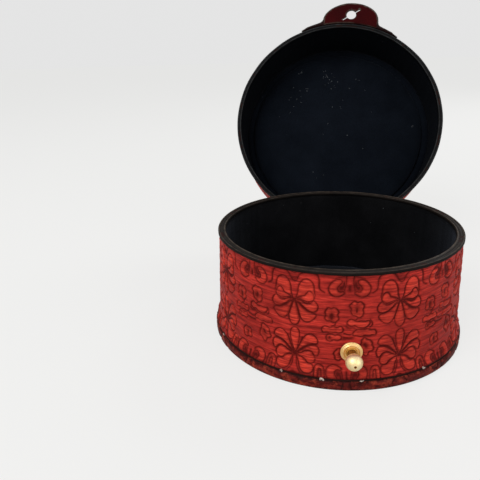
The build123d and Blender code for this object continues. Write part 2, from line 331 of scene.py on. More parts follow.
def plainLeather(name, face, worn, roughness, grainScale=1300, rubbedAndSheen=(0.30, 0.25, 0.20), specular=0.30):
    material, tree, shader = newMaterial(name)
    place = objectPlace(tree)
    # where the rubbed colour goes: wear on the strap's and flap's edges, wear and painted sheen on the
    # bindings' beads
    rubAndSheen = attribute(tree, "rubAndSheen")
    patches = noise(tree, place, 60, 4.0)
    grain = noise(tree, place, grainScale, 4.0, 0.65)
    color = ramp(tree, patches, [(0.32, face), (0.72, worn)])
    color = blendColors(tree, ramp(tree, grain, [(0.35, grey(0.25)), (0.60, grey(0.0))]), color, grey(0.0))
    uneven = ramp(tree, noise(tree, place, 220, 4.0, 0.7), [(0.35, grey(0.15)), (0.65, grey(1.0))])
    wearAndSheen = blendColors(tree, 1.0, rubAndSheen, uneven, "MULTIPLY")
    tree.links.new(blendColors(tree, wearAndSheen, color, rubbedAndSheen), shader.inputs["Base Color"])
    tree.links.new(ramp(tree, patches, [(0.3, grey(roughness)), (0.8, grey(roughness + 0.16))]),
                   shader.inputs["Roughness"])
    pores = node(tree, "ShaderNodeTexVoronoi", {"Vector": place, "Scale": grainScale * 0.6})
    fine = bump(tree, pores.outputs["Distance"], 0.35, 0.00012)
    tree.links.new(bump(tree, grain, 0.45, 0.00014, fine), shader.inputs["Normal"])
    shader.inputs["Specular IOR Level"].default_value = specular
    return material


def velvet(name, face, nap, sheen):
    material, tree, shader = newMaterial(name)
    place = objectPlace(tree)
    brushed = noise(tree, place, 45, 3.0)
    pile = noise(tree, place, 2600, 2.0, 0.7)
    dust = node(tree, "ShaderNodeTexVoronoi", {"Vector": place, "Scale": 330.0, "Randomness": 1.0})
    speck = ramp(tree, dust.outputs["Distance"], [(0.045, grey(1.0)), (0.075, grey(0.0))])
    some = ramp(tree, noise(tree, place, 120, 2.0), [(0.60, grey(0.0)), (0.68, grey(1.0))])
    rare = blendColors(tree, 1.0, speck, some, "MULTIPLY")
    color = ramp(tree, brushed, [(0.35, face), (0.70, nap)])
    color = blendColors(tree, ramp(tree, pile, [(0.35, grey(0.6)), (0.65, grey(0.0))]), color, grey(0.0))
    tree.links.new(blendColors(tree, rare, color, (0.16, 0.17, 0.18)), shader.inputs["Base Color"])
    setInputs(tree, shader, {"Roughness": 0.95, "Specular IOR Level": 0.04, "Sheen Weight": sheen,
                             "Sheen Roughness": 0.45, "Sheen Tint": (0.55, 0.62, 0.80, 1)})
    fine = bump(tree, pile, 0.7, 0.00020)
    tree.links.new(bump(tree, brushed, 0.25, 0.00040, fine), shader.inputs["Normal"])
    return material


def turnedBrass(name):
    material, tree, shader = newMaterial(name)
    place = objectPlace(tree)
    film = noise(tree, place, 260, 5.0, 0.6)
    fineMarks = noise(tree, place, 2400, 3.0)
    color = ramp(tree, film, [(0.30, (0.93, 0.68, 0.31)), (0.62, (0.98, 0.82, 0.48))])
    tarnishAndShade = attribute(tree, "tarnishAndShade")
    # a little of it turns the brass amber, much of it brown: painted shade in the centre mark and round the
    # neck, painted shade and tarnish in the dish
    for start, end, darkening in ((0.0, 0.4, (0.86, 0.43, 0.060)), (0.4, 1.0, (0.14, 0.045, 0.012))):
        color = blendColors(tree, ramp(tree, tarnishAndShade, [(start, grey(0)), (end, grey(1))]), color, darkening)
    tree.links.new(color, shader.inputs["Base Color"])
    shader.inputs["Metallic"].default_value = 0.82
    tree.links.new(ramp(tree, film, [(0.3, grey(0.50)), (0.7, grey(0.38))]), shader.inputs["Roughness"])
    tree.links.new(bump(tree, fineMarks, 0.12, 0.00004), shader.inputs["Normal"])
    return material


def pressedBoard(name, face, dark):
    material, tree, shader = newMaterial(name)
    place = objectPlace(tree)
    layers = noise(tree, stretched(tree, place, (60, 60, 900)), 1.0, 4.0)
    fibres = noise(tree, place, 900, 4.0, 0.7)
    tree.links.new(ramp(tree, layers, [(0.3, dark), (0.7, face)]), shader.inputs["Base Color"])
    shader.inputs["Roughness"].default_value = 0.8
    shader.inputs["Specular IOR Level"].default_value = 0.08
    tree.links.new(bump(tree, fibres, 0.5, 0.00015), shader.inputs["Normal"])
    return material


def thread(name, color):
    material, tree, shader = newMaterial(name)
    place = objectPlace(tree)
    twist = noise(tree, place, 3200, 2.0)
    tree.links.new(ramp(tree, twist, [(0.3, tuple(0.6 * c for c in color)), (0.7, color)]),
                   shader.inputs["Base Color"])
    shader.inputs["Roughness"].default_value = 0.7
    tree.links.new(bump(tree, twist, 0.5, 0.00010), shader.inputs["Normal"])
    return material


def glue(name):
    material, tree, shader = newMaterial(name)
    place = objectPlace(tree)
    film = noise(tree, place, 700, 3.0)
    tree.links.new(ramp(tree, film, [(0.3, (0.16, 0.08, 0.06)), (0.7, (0.62, 0.52, 0.45))]),
                   shader.inputs["Base Color"])
    shader.inputs["Roughness"].default_value = 0.12
    tree.links.new(bump(tree, film, 0.3, 0.00010), shader.inputs["Normal"])
    return material


redTooled = tooledLeather("redTooledLeather")
# the base band's colour multiplied by (0.33, 0.46, 0.48): partly a darker, browner leather, partly painted
# shade
redBand = tooledLeather("redBandLeather", (0.33, 0.46, 0.48), 0.75)
redStrap = plainLeather("redStrapLeather", (0.16, 0.010, 0.009), (0.27, 0.018, 0.013), 0.42, 1300,
                        (0.10, 0.055, 0.040))
# the flap lining's dark maroon is partly its own colour, partly painted shade
flapInside = plainLeather("flapInsideLeather", (0.026, 0.0018, 0.0022), (0.044, 0.0026, 0.0032), 0.65, 1300,
                          (0.12, 0.10, 0.08), 0.03)
flapOutside = plainLeather("flapOutsideLeather", (0.0085, 0.0026, 0.0026),
                           (0.018, 0.0045, 0.0043), 0.55, 1300, (0.20, 0.19, 0.17), 0.07)
edgeLeather = plainLeather("edgeBindingLeather", (0.0045, 0.0034, 0.0030),
                           (0.0120, 0.0088, 0.0072), 0.55, 1800, (0.078, 0.060, 0.046), 0.06)
lidEdgeLeather = plainLeather("lidEdgeLeather", (0.0024, 0.0024, 0.0026),
                              (0.0062, 0.0060, 0.0062), 0.50, 1800, (0.046, 0.048, 0.050), 0.06)
soleLeather = plainLeather("soleLeather", (0.030, 0.016, 0.013), (0.060, 0.034, 0.026), 0.60)
blackVelvet = velvet("blackVelvet", (0.0030, 0.0030, 0.0033), (0.0080, 0.0080, 0.0088), 0.08)
navyVelvet = velvet("navyVelvet", (0.0040, 0.0058, 0.0096), (0.0066, 0.0094, 0.0150), 0.05)
# a darker copy of the navy velvet for the lid's wall: painted shade
navyShade = velvet("navyVelvetShaded", (0.0008, 0.0014, 0.0024), (0.0018, 0.0028, 0.0042), 0.01)
brass = turnedBrass("turnedBrass")
# near-black board: where it shows, in the groove over the base band, its darkness is painted shade
shadedDarkBoard = pressedBoard("shadedDarkBoard", (0.022, 0.0085, 0.0065), (0.008, 0.0035, 0.0030))
waxedThread = thread("waxedThread", (0.34, 0.10, 0.06))
paleLint = thread("paleLint", (0.15, 0.16, 0.17))
driedGlue = glue("driedGlue")
print("materials made")


# Tooling: the stamped sheet of flowers, scrolls and blossoms, as lines on the flat leather

tooling = {
    "period": 50.0,          # across, between the columns of palmettes
    "height": 60.6,          # the lower half mirrors the upper about the middle
    "columnAt": 30.0,        # a column's place round the wall, right of the point opposite the hinge
    "depth": 0.50,
    "puff": 0.28,            # height of a petal over its own outline
    "puffReach": 1.25,
    "sunk": 0.10,            # slope of the ground towards a line
    "line": 0.39,            # half-width of a line's dark bed
    "along": 0.60,           # spacing of points along a line
    "ground": 1.20,          # spacing of points between lines
    "nearest": 0.16,
    "seam": 1.6,             # width of the line over the butt seam
    "darkening": (1.6, 0.22),    # reach of the painted edge shade, in edge rolls, and its waver
    "seat": (0.30, 1.6),     # depth of the hollow under the stud's flange, and how it fades
    "thinnest": 0.1,         # leather left under the deepest line
}


def smoothLine(points, closed=False, step=0.4):
    # Catmull-Rom through the given points
    p = np.array(points, float)
    p = np.vstack([p[-1], p, p[0], p[1]]) if closed else np.vstack([2 * p[0] - p[1], p, 2 * p[-1] - p[-2]])
    line = []
    for a, b, c, d in zip(p[:-3], p[1:-2], p[2:-1], p[3:]):
        for t in np.linspace(0, 1, max(2, int(np.linalg.norm(c - b) / step) + 1), endpoint=False):
            line.append(0.5 * (2 * b + (c - a) * t + (2 * a - 5 * b + 4 * c - d) * t * t
                               + (3 * b - a - 3 * c + d) * t ** 3))
    line.append(p[-2])
    return np.array(line)


def mirrored(line, about):
    return np.stack([2 * about - line[:, 0], line[:, 1]], -1)


def flipped(line):
    return np.stack([line[:, 0], tooling["height"] - line[:, 1]], -1)


def drawTile():
    # (line, width, darkness, raised) in one period: x from the column, y up from the table
    lines = []

    def stroke(points, width=1.0, dark=1.0, raised=False, copies=(None,), closed=False):
        line = smoothLine(points, closed)
        for about in copies:
            lines.append((line if about is None else mirrored(line, about), width, dark, raised))

    def motif(points, width=1.0, copies=(None,)):
        stroke(points, width, 1.0, True, copies, True)

    # upper palmette
    both = (None, -0.35)
    motif([(-0.3, 43.8), (-1.3, 41.2), (-2.3, 38.2), (-2.9, 35.8), (-2.6, 33.6), (-1.6, 31.9),
           (-0.2, 31.2), (1.3, 31.8), (2.3, 33.6), (2.6, 35.8), (1.8, 38.4), (0.7, 41.2)])
    motif([(-1.6, 43.4), (-3.4, 41.9), (-5.2, 40.4), (-7.0, 39.3), (-9.2, 38.8), (-10.9, 38.2),
           (-10.9, 37.0), (-9.8, 35.5), (-8.0, 34.1), (-6.0, 33.7), (-4.4, 34.6), (-3.4, 36.4),
           (-2.3, 39.8)], copies=both)
    motif([(-1.8, 44.7), (-4.0, 43.9), (-6.2, 42.9), (-7.8, 43.1), (-9.0, 44.3), (-10.0, 44.8),
           (-11.2, 43.6), (-11.8, 41.9), (-11.2, 40.1), (-9.6, 39.2), (-7.4, 39.7), (-5.4, 41.0),
           (-3.6, 42.6)], copies=both)
    motif([(-1.9, 45.4), (-3.8, 46.3), (-5.4, 46.9), (-6.2, 48.2), (-7.4, 49.5), (-8.9, 48.8),
           (-9.9, 46.9), (-9.7, 45.4), (-8.2, 44.4), (-6.4, 44.1), (-4.2, 44.8)], copies=both)
    stroke([(-1.3, 45.8), (-2.0, 48.2), (-2.2, 50.6), (-2.9, 52.7), (-4.2, 54.5), (-6.2, 55.3),
            (-8.3, 54.5), (-9.5, 52.7), (-9.8, 50.2), (-10.3, 47.6)], 1.05, raised=True, copies=both)
    stroke([(-0.7, 44.2), (-1.8, 40.9), (-2.6, 38.0), (-3.1, 35.7)], 1.75, copies=both)
    stroke([(-0.9, 44.1), (-3.2, 42.3), (-5.0, 40.7), (-6.8, 39.5), (-9.0, 38.9)], 1.75, copies=both)
    stroke([(-0.9, 44.8), (-3.4, 44.3), (-6.2, 43.4), (-7.6, 43.7)], 1.5, copies=both)
    stroke([(-0.9, 45.0), (-2.6, 45.9), (-5.0, 46.8)], 1.35, copies=both)
    stroke([(-0.8, 44.2), (0.1, 44.5)], 3.0)
    stroke([(-5.8, 59.2), (-4.4, 58.2), (-3.2, 56.8), (-2.2, 55.2), (-1.2, 53.9), (-0.1, 53.6),
            (0.8, 54.3), (1.6, 56.4), (2.8, 57.7), (4.6, 58.9)], 1.4)
    stroke([(-1.5, 55.0), (-0.2, 54.6), (0.7, 55.4)], 2.6, 0.9)
    stroke([(-2.2, 58.5), (-1.1, 57.7), (-0.2, 57.6), (0.8, 58.3)], 0.9, 0.8)
    stroke([(-14.4, 49.8), (-13.2, 50.4), (-12.3, 51.2), (-12.0, 53.0), (-12.0, 55.0), (-11.6, 56.7),
            (-10.8, 58.1), (-9.4, 58.8)], 1.25, copies=both)

    # lower palmette
    both = (None, 0.45)
    motif([(0.9, 17.2), (0.0, 18.6), (-0.9, 20.9), (-1.5, 23.3), (-1.9, 26.0), (-1.7, 28.2), (-0.8, 29.6),
           (0.5, 30.0), (1.8, 29.4), (2.5, 28.0), (2.6, 26.0), (2.3, 23.3), (1.9, 20.9), (1.5, 18.6)])
    motif([(-0.4, 17.4), (-1.6, 20.2), (-2.6, 22.9), (-3.8, 25.4), (-5.0, 26.9), (-6.6, 27.6),
           (-8.4, 27.4), (-9.8, 26.2), (-10.6, 24.4), (-10.2, 23.0), (-8.0, 22.6), (-5.8, 21.9),
           (-3.6, 20.2)], copies=both)
    motif([(-0.8, 16.7), (-3.0, 18.6), (-4.6, 20.2), (-6.4, 21.3), (-8.8, 21.9), (-10.4, 21.6),
           (-11.3, 19.6), (-11.0, 17.8), (-10.3, 16.3), (-9.3, 16.7), (-8.2, 18.2), (-6.6, 18.9),
           (-4.6, 18.4), (-2.6, 17.2)], copies=both)
    motif([(-0.6, 15.9), (-2.8, 17.0), (-5.0, 18.2), (-7.0, 18.4), (-8.6, 17.0), (-9.5, 14.8),
           (-9.0, 13.0), (-7.4, 12.1), (-5.7, 12.6), (-4.6, 14.0), (-2.8, 15.1)], copies=both)
    motif([(-0.6, 15.1), (-2.9, 14.6), (-4.4, 13.5), (-5.9, 12.0), (-8.0, 11.7), (-8.9, 10.2),
           (-8.4, 8.4), (-6.8, 7.4), (-4.9, 7.3), (-3.2, 8.1), (-2.1, 9.6), (-1.6, 11.6),
           (-0.9, 13.6)], copies=both)
    stroke([(-0.5, 14.2), (-0.5, 11.4), (-1.2, 9.2), (-2.6, 7.4)], 0.8, copies=both)
    stroke([(0.5, 15.9), (-0.8, 18.8), (-1.9, 21.6), (-3.3, 25.4)], 1.75, copies=both)
    stroke([(0.2, 15.9), (-2.4, 18.6), (-4.4, 20.6), (-6.6, 21.8), (-9.8, 22.4)], 1.75, copies=both)
    stroke([(0.0, 15.6), (-2.4, 16.9), (-5.0, 18.4)], 1.35, copies=both)
    stroke([(0.5, 15.5), (1.3, 15.6)], 3.0)
    stroke([(-5.4, 0.6), (-4.0, 2.2), (-2.6, 4.2), (-1.2, 6.4), (0.4, 7.0), (1.6, 6.2), (2.8, 4.2),
            (4.4, 2.2), (5.6, 0.6)], 1.5)
    stroke([(-0.9, 5.4), (0.4, 5.8), (1.4, 5.2)], 2.2, 0.9)
    stroke([(-14.2, 6.2), (-14.0, 9.4), (-13.1, 11.6), (-11.5, 12.3), (-9.9, 11.7), (-9.2, 9.8),
            (-9.3, 7.0)], 1.15, raised=True, copies=both)
    stroke([(-12.7, 7.2), (-12.4, 9.6), (-11.7, 10.3), (-11.2, 9.2), (-11.2, 6.8)], 1.6, copies=both)

    # facing scrolls, above and below
    spine = -24.8
    facing = (None, spine)
    crescent = [(-21.3, 55.7), (-19.8, 56.4), (-17.6, 55.7), (-15.9, 53.8), (-15.2, 51.8), (-15.8, 49.6),
                (-17.6, 48.1), (-19.8, 48.0), (-21.8, 49.0), (-22.5, 50.0), (-21.6, 50.6), (-20.6, 50.2),
                (-19.6, 50.8), (-19.2, 52.0), (-19.8, 53.2), (-20.8, 54.3)]
    start = len(lines)
    motif(crescent, 1.15, facing)
    stroke([(-22.2, 54.9), (-22.0, 53.2), (-21.0, 51.8), (-20.6, 52.6)], 3.2, copies=facing)
    stroke([(-22.6, 59.4), (-23.2, 56.6), (-23.0, 53.6), (-22.4, 51.0)], 0.95, copies=facing)
    stroke([(-22.0, 57.8), (-20.2, 57.4), (-18.4, 57.0)], 0.8, 0.8, copies=facing)
    stroke([(spine, 51.2), (spine, 53.2)], 2.0)
    lines += [(flipped(line), width, dark, raised) for line, width, dark, raised in lines[start:]]

    # blossoms with dark eyes, and clouds
    motif([(-23.4, 45.2), (-22.3, 46.0), (-21.2, 45.2), (-19.9, 45.6), (-18.5, 44.7), (-17.8, 43.1),
           (-18.5, 41.7), (-18.0, 40.0), (-18.7, 38.3), (-20.2, 37.5), (-21.5, 38.4), (-23.0, 38.9),
           (-23.9, 40.6), (-23.7, 42.2), (-24.8, 43.4)], 1.15)
    stroke([(-21.2, 40.5), (-21.2, 42.2)], 3.3)
    motif([(14.9, 41.2), (15.9, 42.4), (17.1, 41.8), (18.3, 42.4), (19.8, 41.8), (20.7, 40.2),
           (20.1, 38.8), (20.8, 37.2), (19.9, 35.6), (18.2, 34.9), (16.9, 35.7), (15.3, 35.6),
           (14.2, 37.0), (14.9, 38.3), (14.3, 39.6)], 1.1)
    stroke([(17.4, 36.9), (17.4, 38.9)], 3.2)
    stroke([(19.4, 35.0), (18.9, 33.6), (17.6, 33.2)], 0.9)
    motif([(-18.3, 26.2), (-17.2, 27.3), (-15.9, 26.5), (-14.6, 26.0), (-13.3, 24.6), (-13.4, 23.2),
           (-12.4, 21.7), (-13.3, 20.2), (-14.7, 19.9), (-15.3, 18.0), (-16.7, 17.8), (-17.7, 19.4),
           (-19.2, 20.4), (-19.2, 22.6), (-18.4, 24.2)], 1.15)
    stroke([(-16.9, 23.7), (-16.1, 22.3)], 3.2)
    motif([(20.0, 20.6), (21.2, 21.7), (22.5, 21.0), (23.9, 21.4), (25.1, 20.1), (24.7, 18.6),
           (25.4, 17.2), (24.2, 15.9), (22.8, 16.1), (21.4, 15.2), (19.8, 15.8), (19.6, 17.4),
           (18.9, 19.0)], 1.05)
    stroke([(22.2, 17.9), (22.2, 19.1)], 2.7)
    motif([(-25.4, 34.6), (-25.0, 36.2), (-23.7, 36.9), (-22.4, 36.4), (-21.0, 35.7), (-19.0, 35.9),
           (-17.0, 35.7), (-15.5, 36.2), (-14.8, 35.1), (-15.5, 33.7), (-17.2, 32.5), (-19.2, 32.5),
           (-20.8, 32.9), (-22.0, 33.7), (-23.6, 33.2)])
    motif([(-21.9, 30.7), (-20.4, 31.7), (-18.0, 31.5), (-15.9, 31.8), (-14.2, 31.3), (-12.6, 31.4),
           (-11.7, 29.9), (-12.2, 28.4), (-13.6, 28.6), (-15.2, 28.1), (-17.0, 28.5), (-18.8, 28.0),
           (-20.7, 28.4), (-22.3, 28.5), (-22.6, 29.6)])
    motif([(13.0, 30.9), (13.6, 32.5), (15.2, 32.9), (16.7, 32.3), (18.3, 33.0), (20.0, 32.5),
           (21.8, 33.1), (22.9, 32.0), (22.8, 30.5), (21.2, 29.7), (19.2, 29.9), (17.2, 29.4),
           (15.2, 29.8), (13.8, 29.5)])
    motif([(15.2, 27.2), (15.8, 28.5), (17.4, 28.9), (19.0, 28.3), (20.6, 28.7), (22.3, 27.9),
           (22.0, 26.5), (20.4, 25.7), (18.6, 25.9), (17.0, 25.1), (15.6, 25.7)])
    stroke([(16.8, 26.9), (16.9, 27.4)], 2.0)
    stroke([(-25.8, 33.0), (-24.2, 32.2), (-22.6, 32.6), (-21.2, 31.7)], 1.9, 0.9)
    stroke([(-14.8, 36.4), (-13.9, 35.2), (-13.8, 33.7), (-14.8, 32.7)], 0.9)
    stroke([(-26.8, 27.4), (-24.6, 27.2), (-22.4, 27.3)], 1.7)
    stroke([(-26.6, 29.6), (-24.6, 29.0), (-23.2, 29.2)], 1.0)
    stroke([(-20.7, 37.4), (-21.3, 36.6), (-22.3, 36.5)], 0.8)
    return lines


tile = drawTile()


def spaced(line, step):
    lengths = np.r_[0, np.cumsum(np.linalg.norm(np.diff(line, axis=0), axis=1))]
    count = max(2, int(round(lengths[-1] / step)) + 1)
    at = np.linspace(0, lengths[-1], count)
    return np.stack([np.interp(at, lengths, line[:, k]) for k in (0, 1)], -1)


def linesOver(low, high, shift=(0.0, 0.0)):
    # the tile's lines, repeated over a window of the flat sheet
    found = []
    across, up = tooling["period"], tooling["height"]
    first = [math.floor((low[k] - shift[k]) / size) - 1 for k, size in enumerate((across, up))]
    last = [math.ceil((high[k] - shift[k]) / size) + 1 for k, size in enumerate((across, up))]
    for i in range(first[0], last[0] + 1):
        for j in range(first[1], last[1]):
            for line, *rest in tile:
                moved = line + (i * across + shift[0], j * up + shift[1])
                if (moved.max(0) > low).all() and (moved.min(0) < high).all():
                    found.append((moved, *rest))
    return found


def segmentDistance(points, a, b):
    d = b - a
    t = np.clip(((points - a) @ d) / max(d @ d, 1e-9), 0, 1)
    return np.linalg.norm(points - a - t[:, None] * d, axis=1)


class LineField:
    # nearness to the tooled lines, looked up through square cells

    def __init__(self, lines, cell=3.0, reach=3.0):
        self.cell, self.reach, self.cells = cell, reach, {}
        for line, width, dark, _ in lines:
            fine = spaced(line, 0.7)
            for a, b in zip(fine[:-1], fine[1:]):
                low = np.floor((np.minimum(a, b) - reach) / cell).astype(int)
                high = np.floor((np.maximum(a, b) + reach) / cell).astype(int)
                for i in range(low[0], high[0] + 1):
                    for j in range(low[1], high[1] + 1):
                        self.cells.setdefault((i, j), []).append((a, b, width, dark))

    def read(self, points):
        mark = np.zeros(len(points))
        gap = np.full(len(points), self.reach)
        keys = np.floor(points / self.cell).astype(int)
        order = np.lexsort((keys[:, 1], keys[:, 0]))
        breaks = np.flatnonzero(np.any(np.diff(keys[order], axis=0) != 0, axis=1)) + 1
        for group in np.split(order, breaks):
            for a, b, width, dark in self.cells.get(tuple(keys[group[0]]), ()):
                d = segmentDistance(points[group], a, b)
                mark[group] = np.maximum(mark[group], dark * (1 - d / (2 * tooling["line"] * width)))
                gap[group] = np.minimum(gap[group], d)
        return mark, gap


def insidePolygon(points, polygon):
    x, y = points[:, 0], points[:, 1]
    found = np.zeros(len(points), bool)
    for (x0, y0), (x1, y1) in zip(polygon, np.roll(polygon, -1, axis=0)):
        crosses = (y0 > y) != (y1 > y)
        with np.errstate(divide="ignore", invalid="ignore"):
            found ^= crosses & (x < (x1 - x0) * (y - y0) / (y1 - y0) + x0)
    return found


def raisedAt(points, lines):
    # 1 inside a petal, blossom, cloud or scroll
    found = np.zeros(len(points))
    for line, _, _, raised in lines:
        if raised:
            near = np.flatnonzero(((points >= line.min(0)) & (points <= line.max(0))).all(axis=1))
            found[near[insidePolygon(points[near], line)]] = 1.0
    return found


def relief(mark, gap, raised):
    bed = np.clip(mark, 0, 1)
    groove = tooling["depth"] * bed * bed * (3 - 2 * bed)
    away = 1 - np.exp(-(gap / tooling["puffReach"]) ** 2)
    petal = tooling["puff"] * (1 - away)
    ground = tooling["puff"] - tooling["sunk"] * (1 - away)
    return -groove - np.where(raised > 0.5, petal, ground)


def thinned(points, nearest):
    keys = np.round(points / nearest).astype(np.int64)
    kept = np.unique(keys[:, 0] * 1000003 + keys[:, 1], return_index=True)[1]
    return points[np.sort(kept)]


def sheetPoints(lines, low, high, coarser=1.0):
    # points dense on the lines and sparse between them
    sets = []
    along, nearest = tooling["along"] * coarser, tooling["nearest"] * coarser
    for line, width, _, _ in lines:
        fine = spaced(line, along)
        way = np.gradient(fine, axis=0)
        side = np.stack([-way[:, 1], way[:, 0]], -1) / np.maximum(np.linalg.norm(way, axis=1), 1e-9)[:, None]
        for k in (0, -0.5, 0.5, -1.3, 1.3):
            sets.append(fine + side * k * 2 * tooling["line"] * width * 0.8)
    dense = thinned(np.vstack(sets), nearest)
    step = tooling["ground"] * coarser
    x, y = np.meshgrid(*(np.arange(low[k] + step / 2, high[k], step) for k in (0, 1)))
    x = x + (np.arange(x.shape[0]) % 2)[:, None] * step / 2
    ground = np.stack([x.ravel(), y.ravel()], -1)
    field = LineField(lines)
    ground = ground[field.read(ground)[1] > step * 0.75]
    return np.vstack([dense, ground]), field


def triangles(points, edges=()):
    made = delaunay_2d_cdt([Vector(p) for p in points], list(edges), [], 0, 1e-5, True)
    return np.array([v[:] for v in made[0]]), [tuple(f) for f in made[2]]


def tooledWall(name, profile, heights, radius, thickness, material, place=asDrawn, coarser=1.0, shift=0.0,
               column=None, seat=None, edgeRoll=(1.1, 0.5)):
    # a wall's skin: the flat sheet wrapped round, closed behind by a plain inner face
    half = math.pi * radius
    low, high = np.array([-half, heights[0]]), np.array([half, heights[1]])
    lines = linesOver(low, high, (tooling["columnAt"] if column is None else column, shift))
    seams = [np.array([(s, low[1] - 2), (s, high[1] + 2)]) for s in (-half, half)]
    lines += [(seam, tooling["seam"], 1.0, False) for seam in seams]
    points, field = sheetPoints(lines, low, high, coarser)
    margin = 0.35 * tooling["ground"]
    inside = (points > low + margin).all(axis=1) & (points < high - margin).all(axis=1)
    across = np.linspace(-half, half, int(2 * half / (0.9 * coarser)))
    up = np.linspace(low[1], high[1], max(3, int((high[1] - low[1]) / (0.9 * coarser))))[1:-1]
    rows = [np.stack([across, np.full(len(across), z)], -1) for z in (low[1], high[1])]
    sides = [np.stack([np.full(len(up), s), up], -1) for s in (-half, half)]
    points, faces = triangles(np.vstack(rows + sides + [points[inside]]))
    mark, gap = field.read(points)
    raised = raisedAt(points, lines)
    rise = relief(mark, gap, raised)
    above, under = points[:, 1] - low[1], high[1] - points[:, 1]
    fromEdge = np.where(above < under, above / edgeRoll[0], under / edgeRoll[1])
    roll = np.where(above < under, edgeRoll[0], edgeRoll[1])
    rise -= roll * np.clip(1 - fromEdge, 0, 1) ** 2 * 0.8
    # painted shade: the skin darkens along its top and bottom edges, in the groove over the base band and
    # under the rim's binding, through the line attribute
    reach, waver = tooling["darkening"]
    darkening = reach + waves(points[:, 0] / radius * 7, 31, waver, 9)
    mark = np.maximum(mark, 1 - fromEdge / darkening)
    if seat:
        reach = np.hypot(points[:, 0] - seat[0], points[:, 1] - seat[1])
        deep, fade = tooling["seat"]
        rise -= deep * np.exp(-(np.maximum(reach - seat[2], 0) / fade) ** 2)
    rise = np.maximum(rise, tooling["thinnest"] - thickness)
    turn = points[:, 0] / radius
    r = profile(points[:, 1]) + rise
    outer = np.stack([r * np.sin(turn), -r * np.cos(turn), points[:, 1]], -1)
    weld = np.arange(len(points))
    onRight = np.flatnonzero(points[:, 0] > half - 1e-3)
    onLeft = np.flatnonzero(points[:, 0] < -half + 1e-3)
    onLeft = onLeft[np.argsort(points[onLeft, 1])]
    weld[onRight[np.argsort(points[onRight, 1])]] = onLeft
    faces = [tuple(weld[list(f)]) for f in faces]
    outer, faces, kept = closeBehind(points, faces, weld, outer, profile, thickness, low, high)
    piece = makePiece(name, outer, faces, material, place)
    source = np.array(kept)
    addValues(piece, "line", mark[source])
    addValues(piece, "raised", raised[source])
    addSheetMap(piece, points[source])
    return piece


def closeBehind(points, faces, weld, outer, profile, thickness, low, high):
    # joins the two long edges by an inner face one thickness behind
    bottom = np.flatnonzero(points[:, 1] < low[1] + 1e-4)
    top = np.flatnonzero(points[:, 1] > high[1] - 1e-4)
    bottom = bottom[np.argsort(points[bottom, 0])][:-1]
    top = top[np.argsort(points[top, 0])][:-1]
    used = np.unique(np.array([i for f in faces for i in f]))
    index = -np.ones(len(points), int)
    index[used] = np.arange(len(used))
    verts = list(outer[used])
    kept = list(used)
    faces = [tuple(int(index[i]) for i in f) for f in faces]
    turns = np.arctan2(outer[bottom, 0], -outer[bottom, 1])
    steps = max(2, int((high[1] - low[1]) / 2.5) + 1)
    loops = []
    for z in np.linspace(low[1], high[1], steps):
        r = float(profile(z)) - thickness
        loops.append(list(range(len(verts), len(verts) + len(bottom))))
        verts += [np.array([r * math.sin(t), -r * math.cos(t), z]) for t in turns]
        kept += [int(i) for i in bottom]
    n = len(bottom)
    for k in range(n):
        m = (k + 1) % n
        b0, b1 = int(index[weld[bottom[k]]]), int(index[weld[bottom[m]]])
        t0, t1 = int(index[weld[top[k]]]), int(index[weld[top[m]]])
        faces.append((b0, loops[0][k], loops[0][m], b1))
        faces.append((t0, t1, loops[-1][m], loops[-1][k]))
        for under, over in zip(loops[:-1], loops[1:]):
            faces.append((under[k], over[k], over[m], under[m]))
    return np.array(verts), faces, kept


studAt = nodePoints("stud")
studTurn = math.atan2(studAt[:, 0].mean(), -studAt[:, 1].mean())
studHeight = (studAt[:, 2].min() + studAt[:, 2].max()) / 2
wallRound = float(wallRadius(bodyLeather["high"] * 0.55))
studFlange = 5.2
studSeat = (studTurn * wallRound, studHeight, studFlange)
leatherThick = 1.0

bodySkin = tooledWall("bodyTooledLeather", wallRadius, (bodyLeather["low"], bodyLeather["high"]), wallRound,
                      leatherThick, redTooled, seat=studSeat)
dress(bodySkin, "body_leather", "body")
print("body leather", len(bodySkin.data.polygons))

bandSkin = tooledWall("baseTooledBand", lambda z: np.full(np.shape(z), bandSize["outer"]),
                      (bandSize["low"], bandSize["high"]), wallRound, leatherThick, redBand,
                      edgeRoll=(0.7, 0.8))
dress(bandSkin, "base_band", "body")
print("base band", len(bandSkin.data.polygons))


# The lid's tooled skins

lidFirst = tooling["columnAt"] * lidLeather["outer"] / wallRound
lidSkin = tooledWall("lidTooledLeather", lambda z: np.full(np.shape(z), lidLeather["outer"]),
                     (lidLeather["low"], lidLeather["high"]), lidLeather["outer"], leatherThick,
                     redTooled, openLid, 1.12, column=lidFirst, edgeRoll=(0.4, 0.4))
dress(lidSkin, "lid_wall_leather", "lid")
print("lid wall leather", len(lidSkin.data.polygons))

lidTopLook = {
    "edge": 0.9,              # radius of the turned edge
    "creases": ((8.3, 1.5), (10.2, 0.8)),   # inward from the edge, and width
}


def circle(radius, steps=240):
    t = np.linspace(0, 2 * math.pi, steps + 1)
    return np.stack([radius * np.cos(t), radius * np.sin(t)], -1)


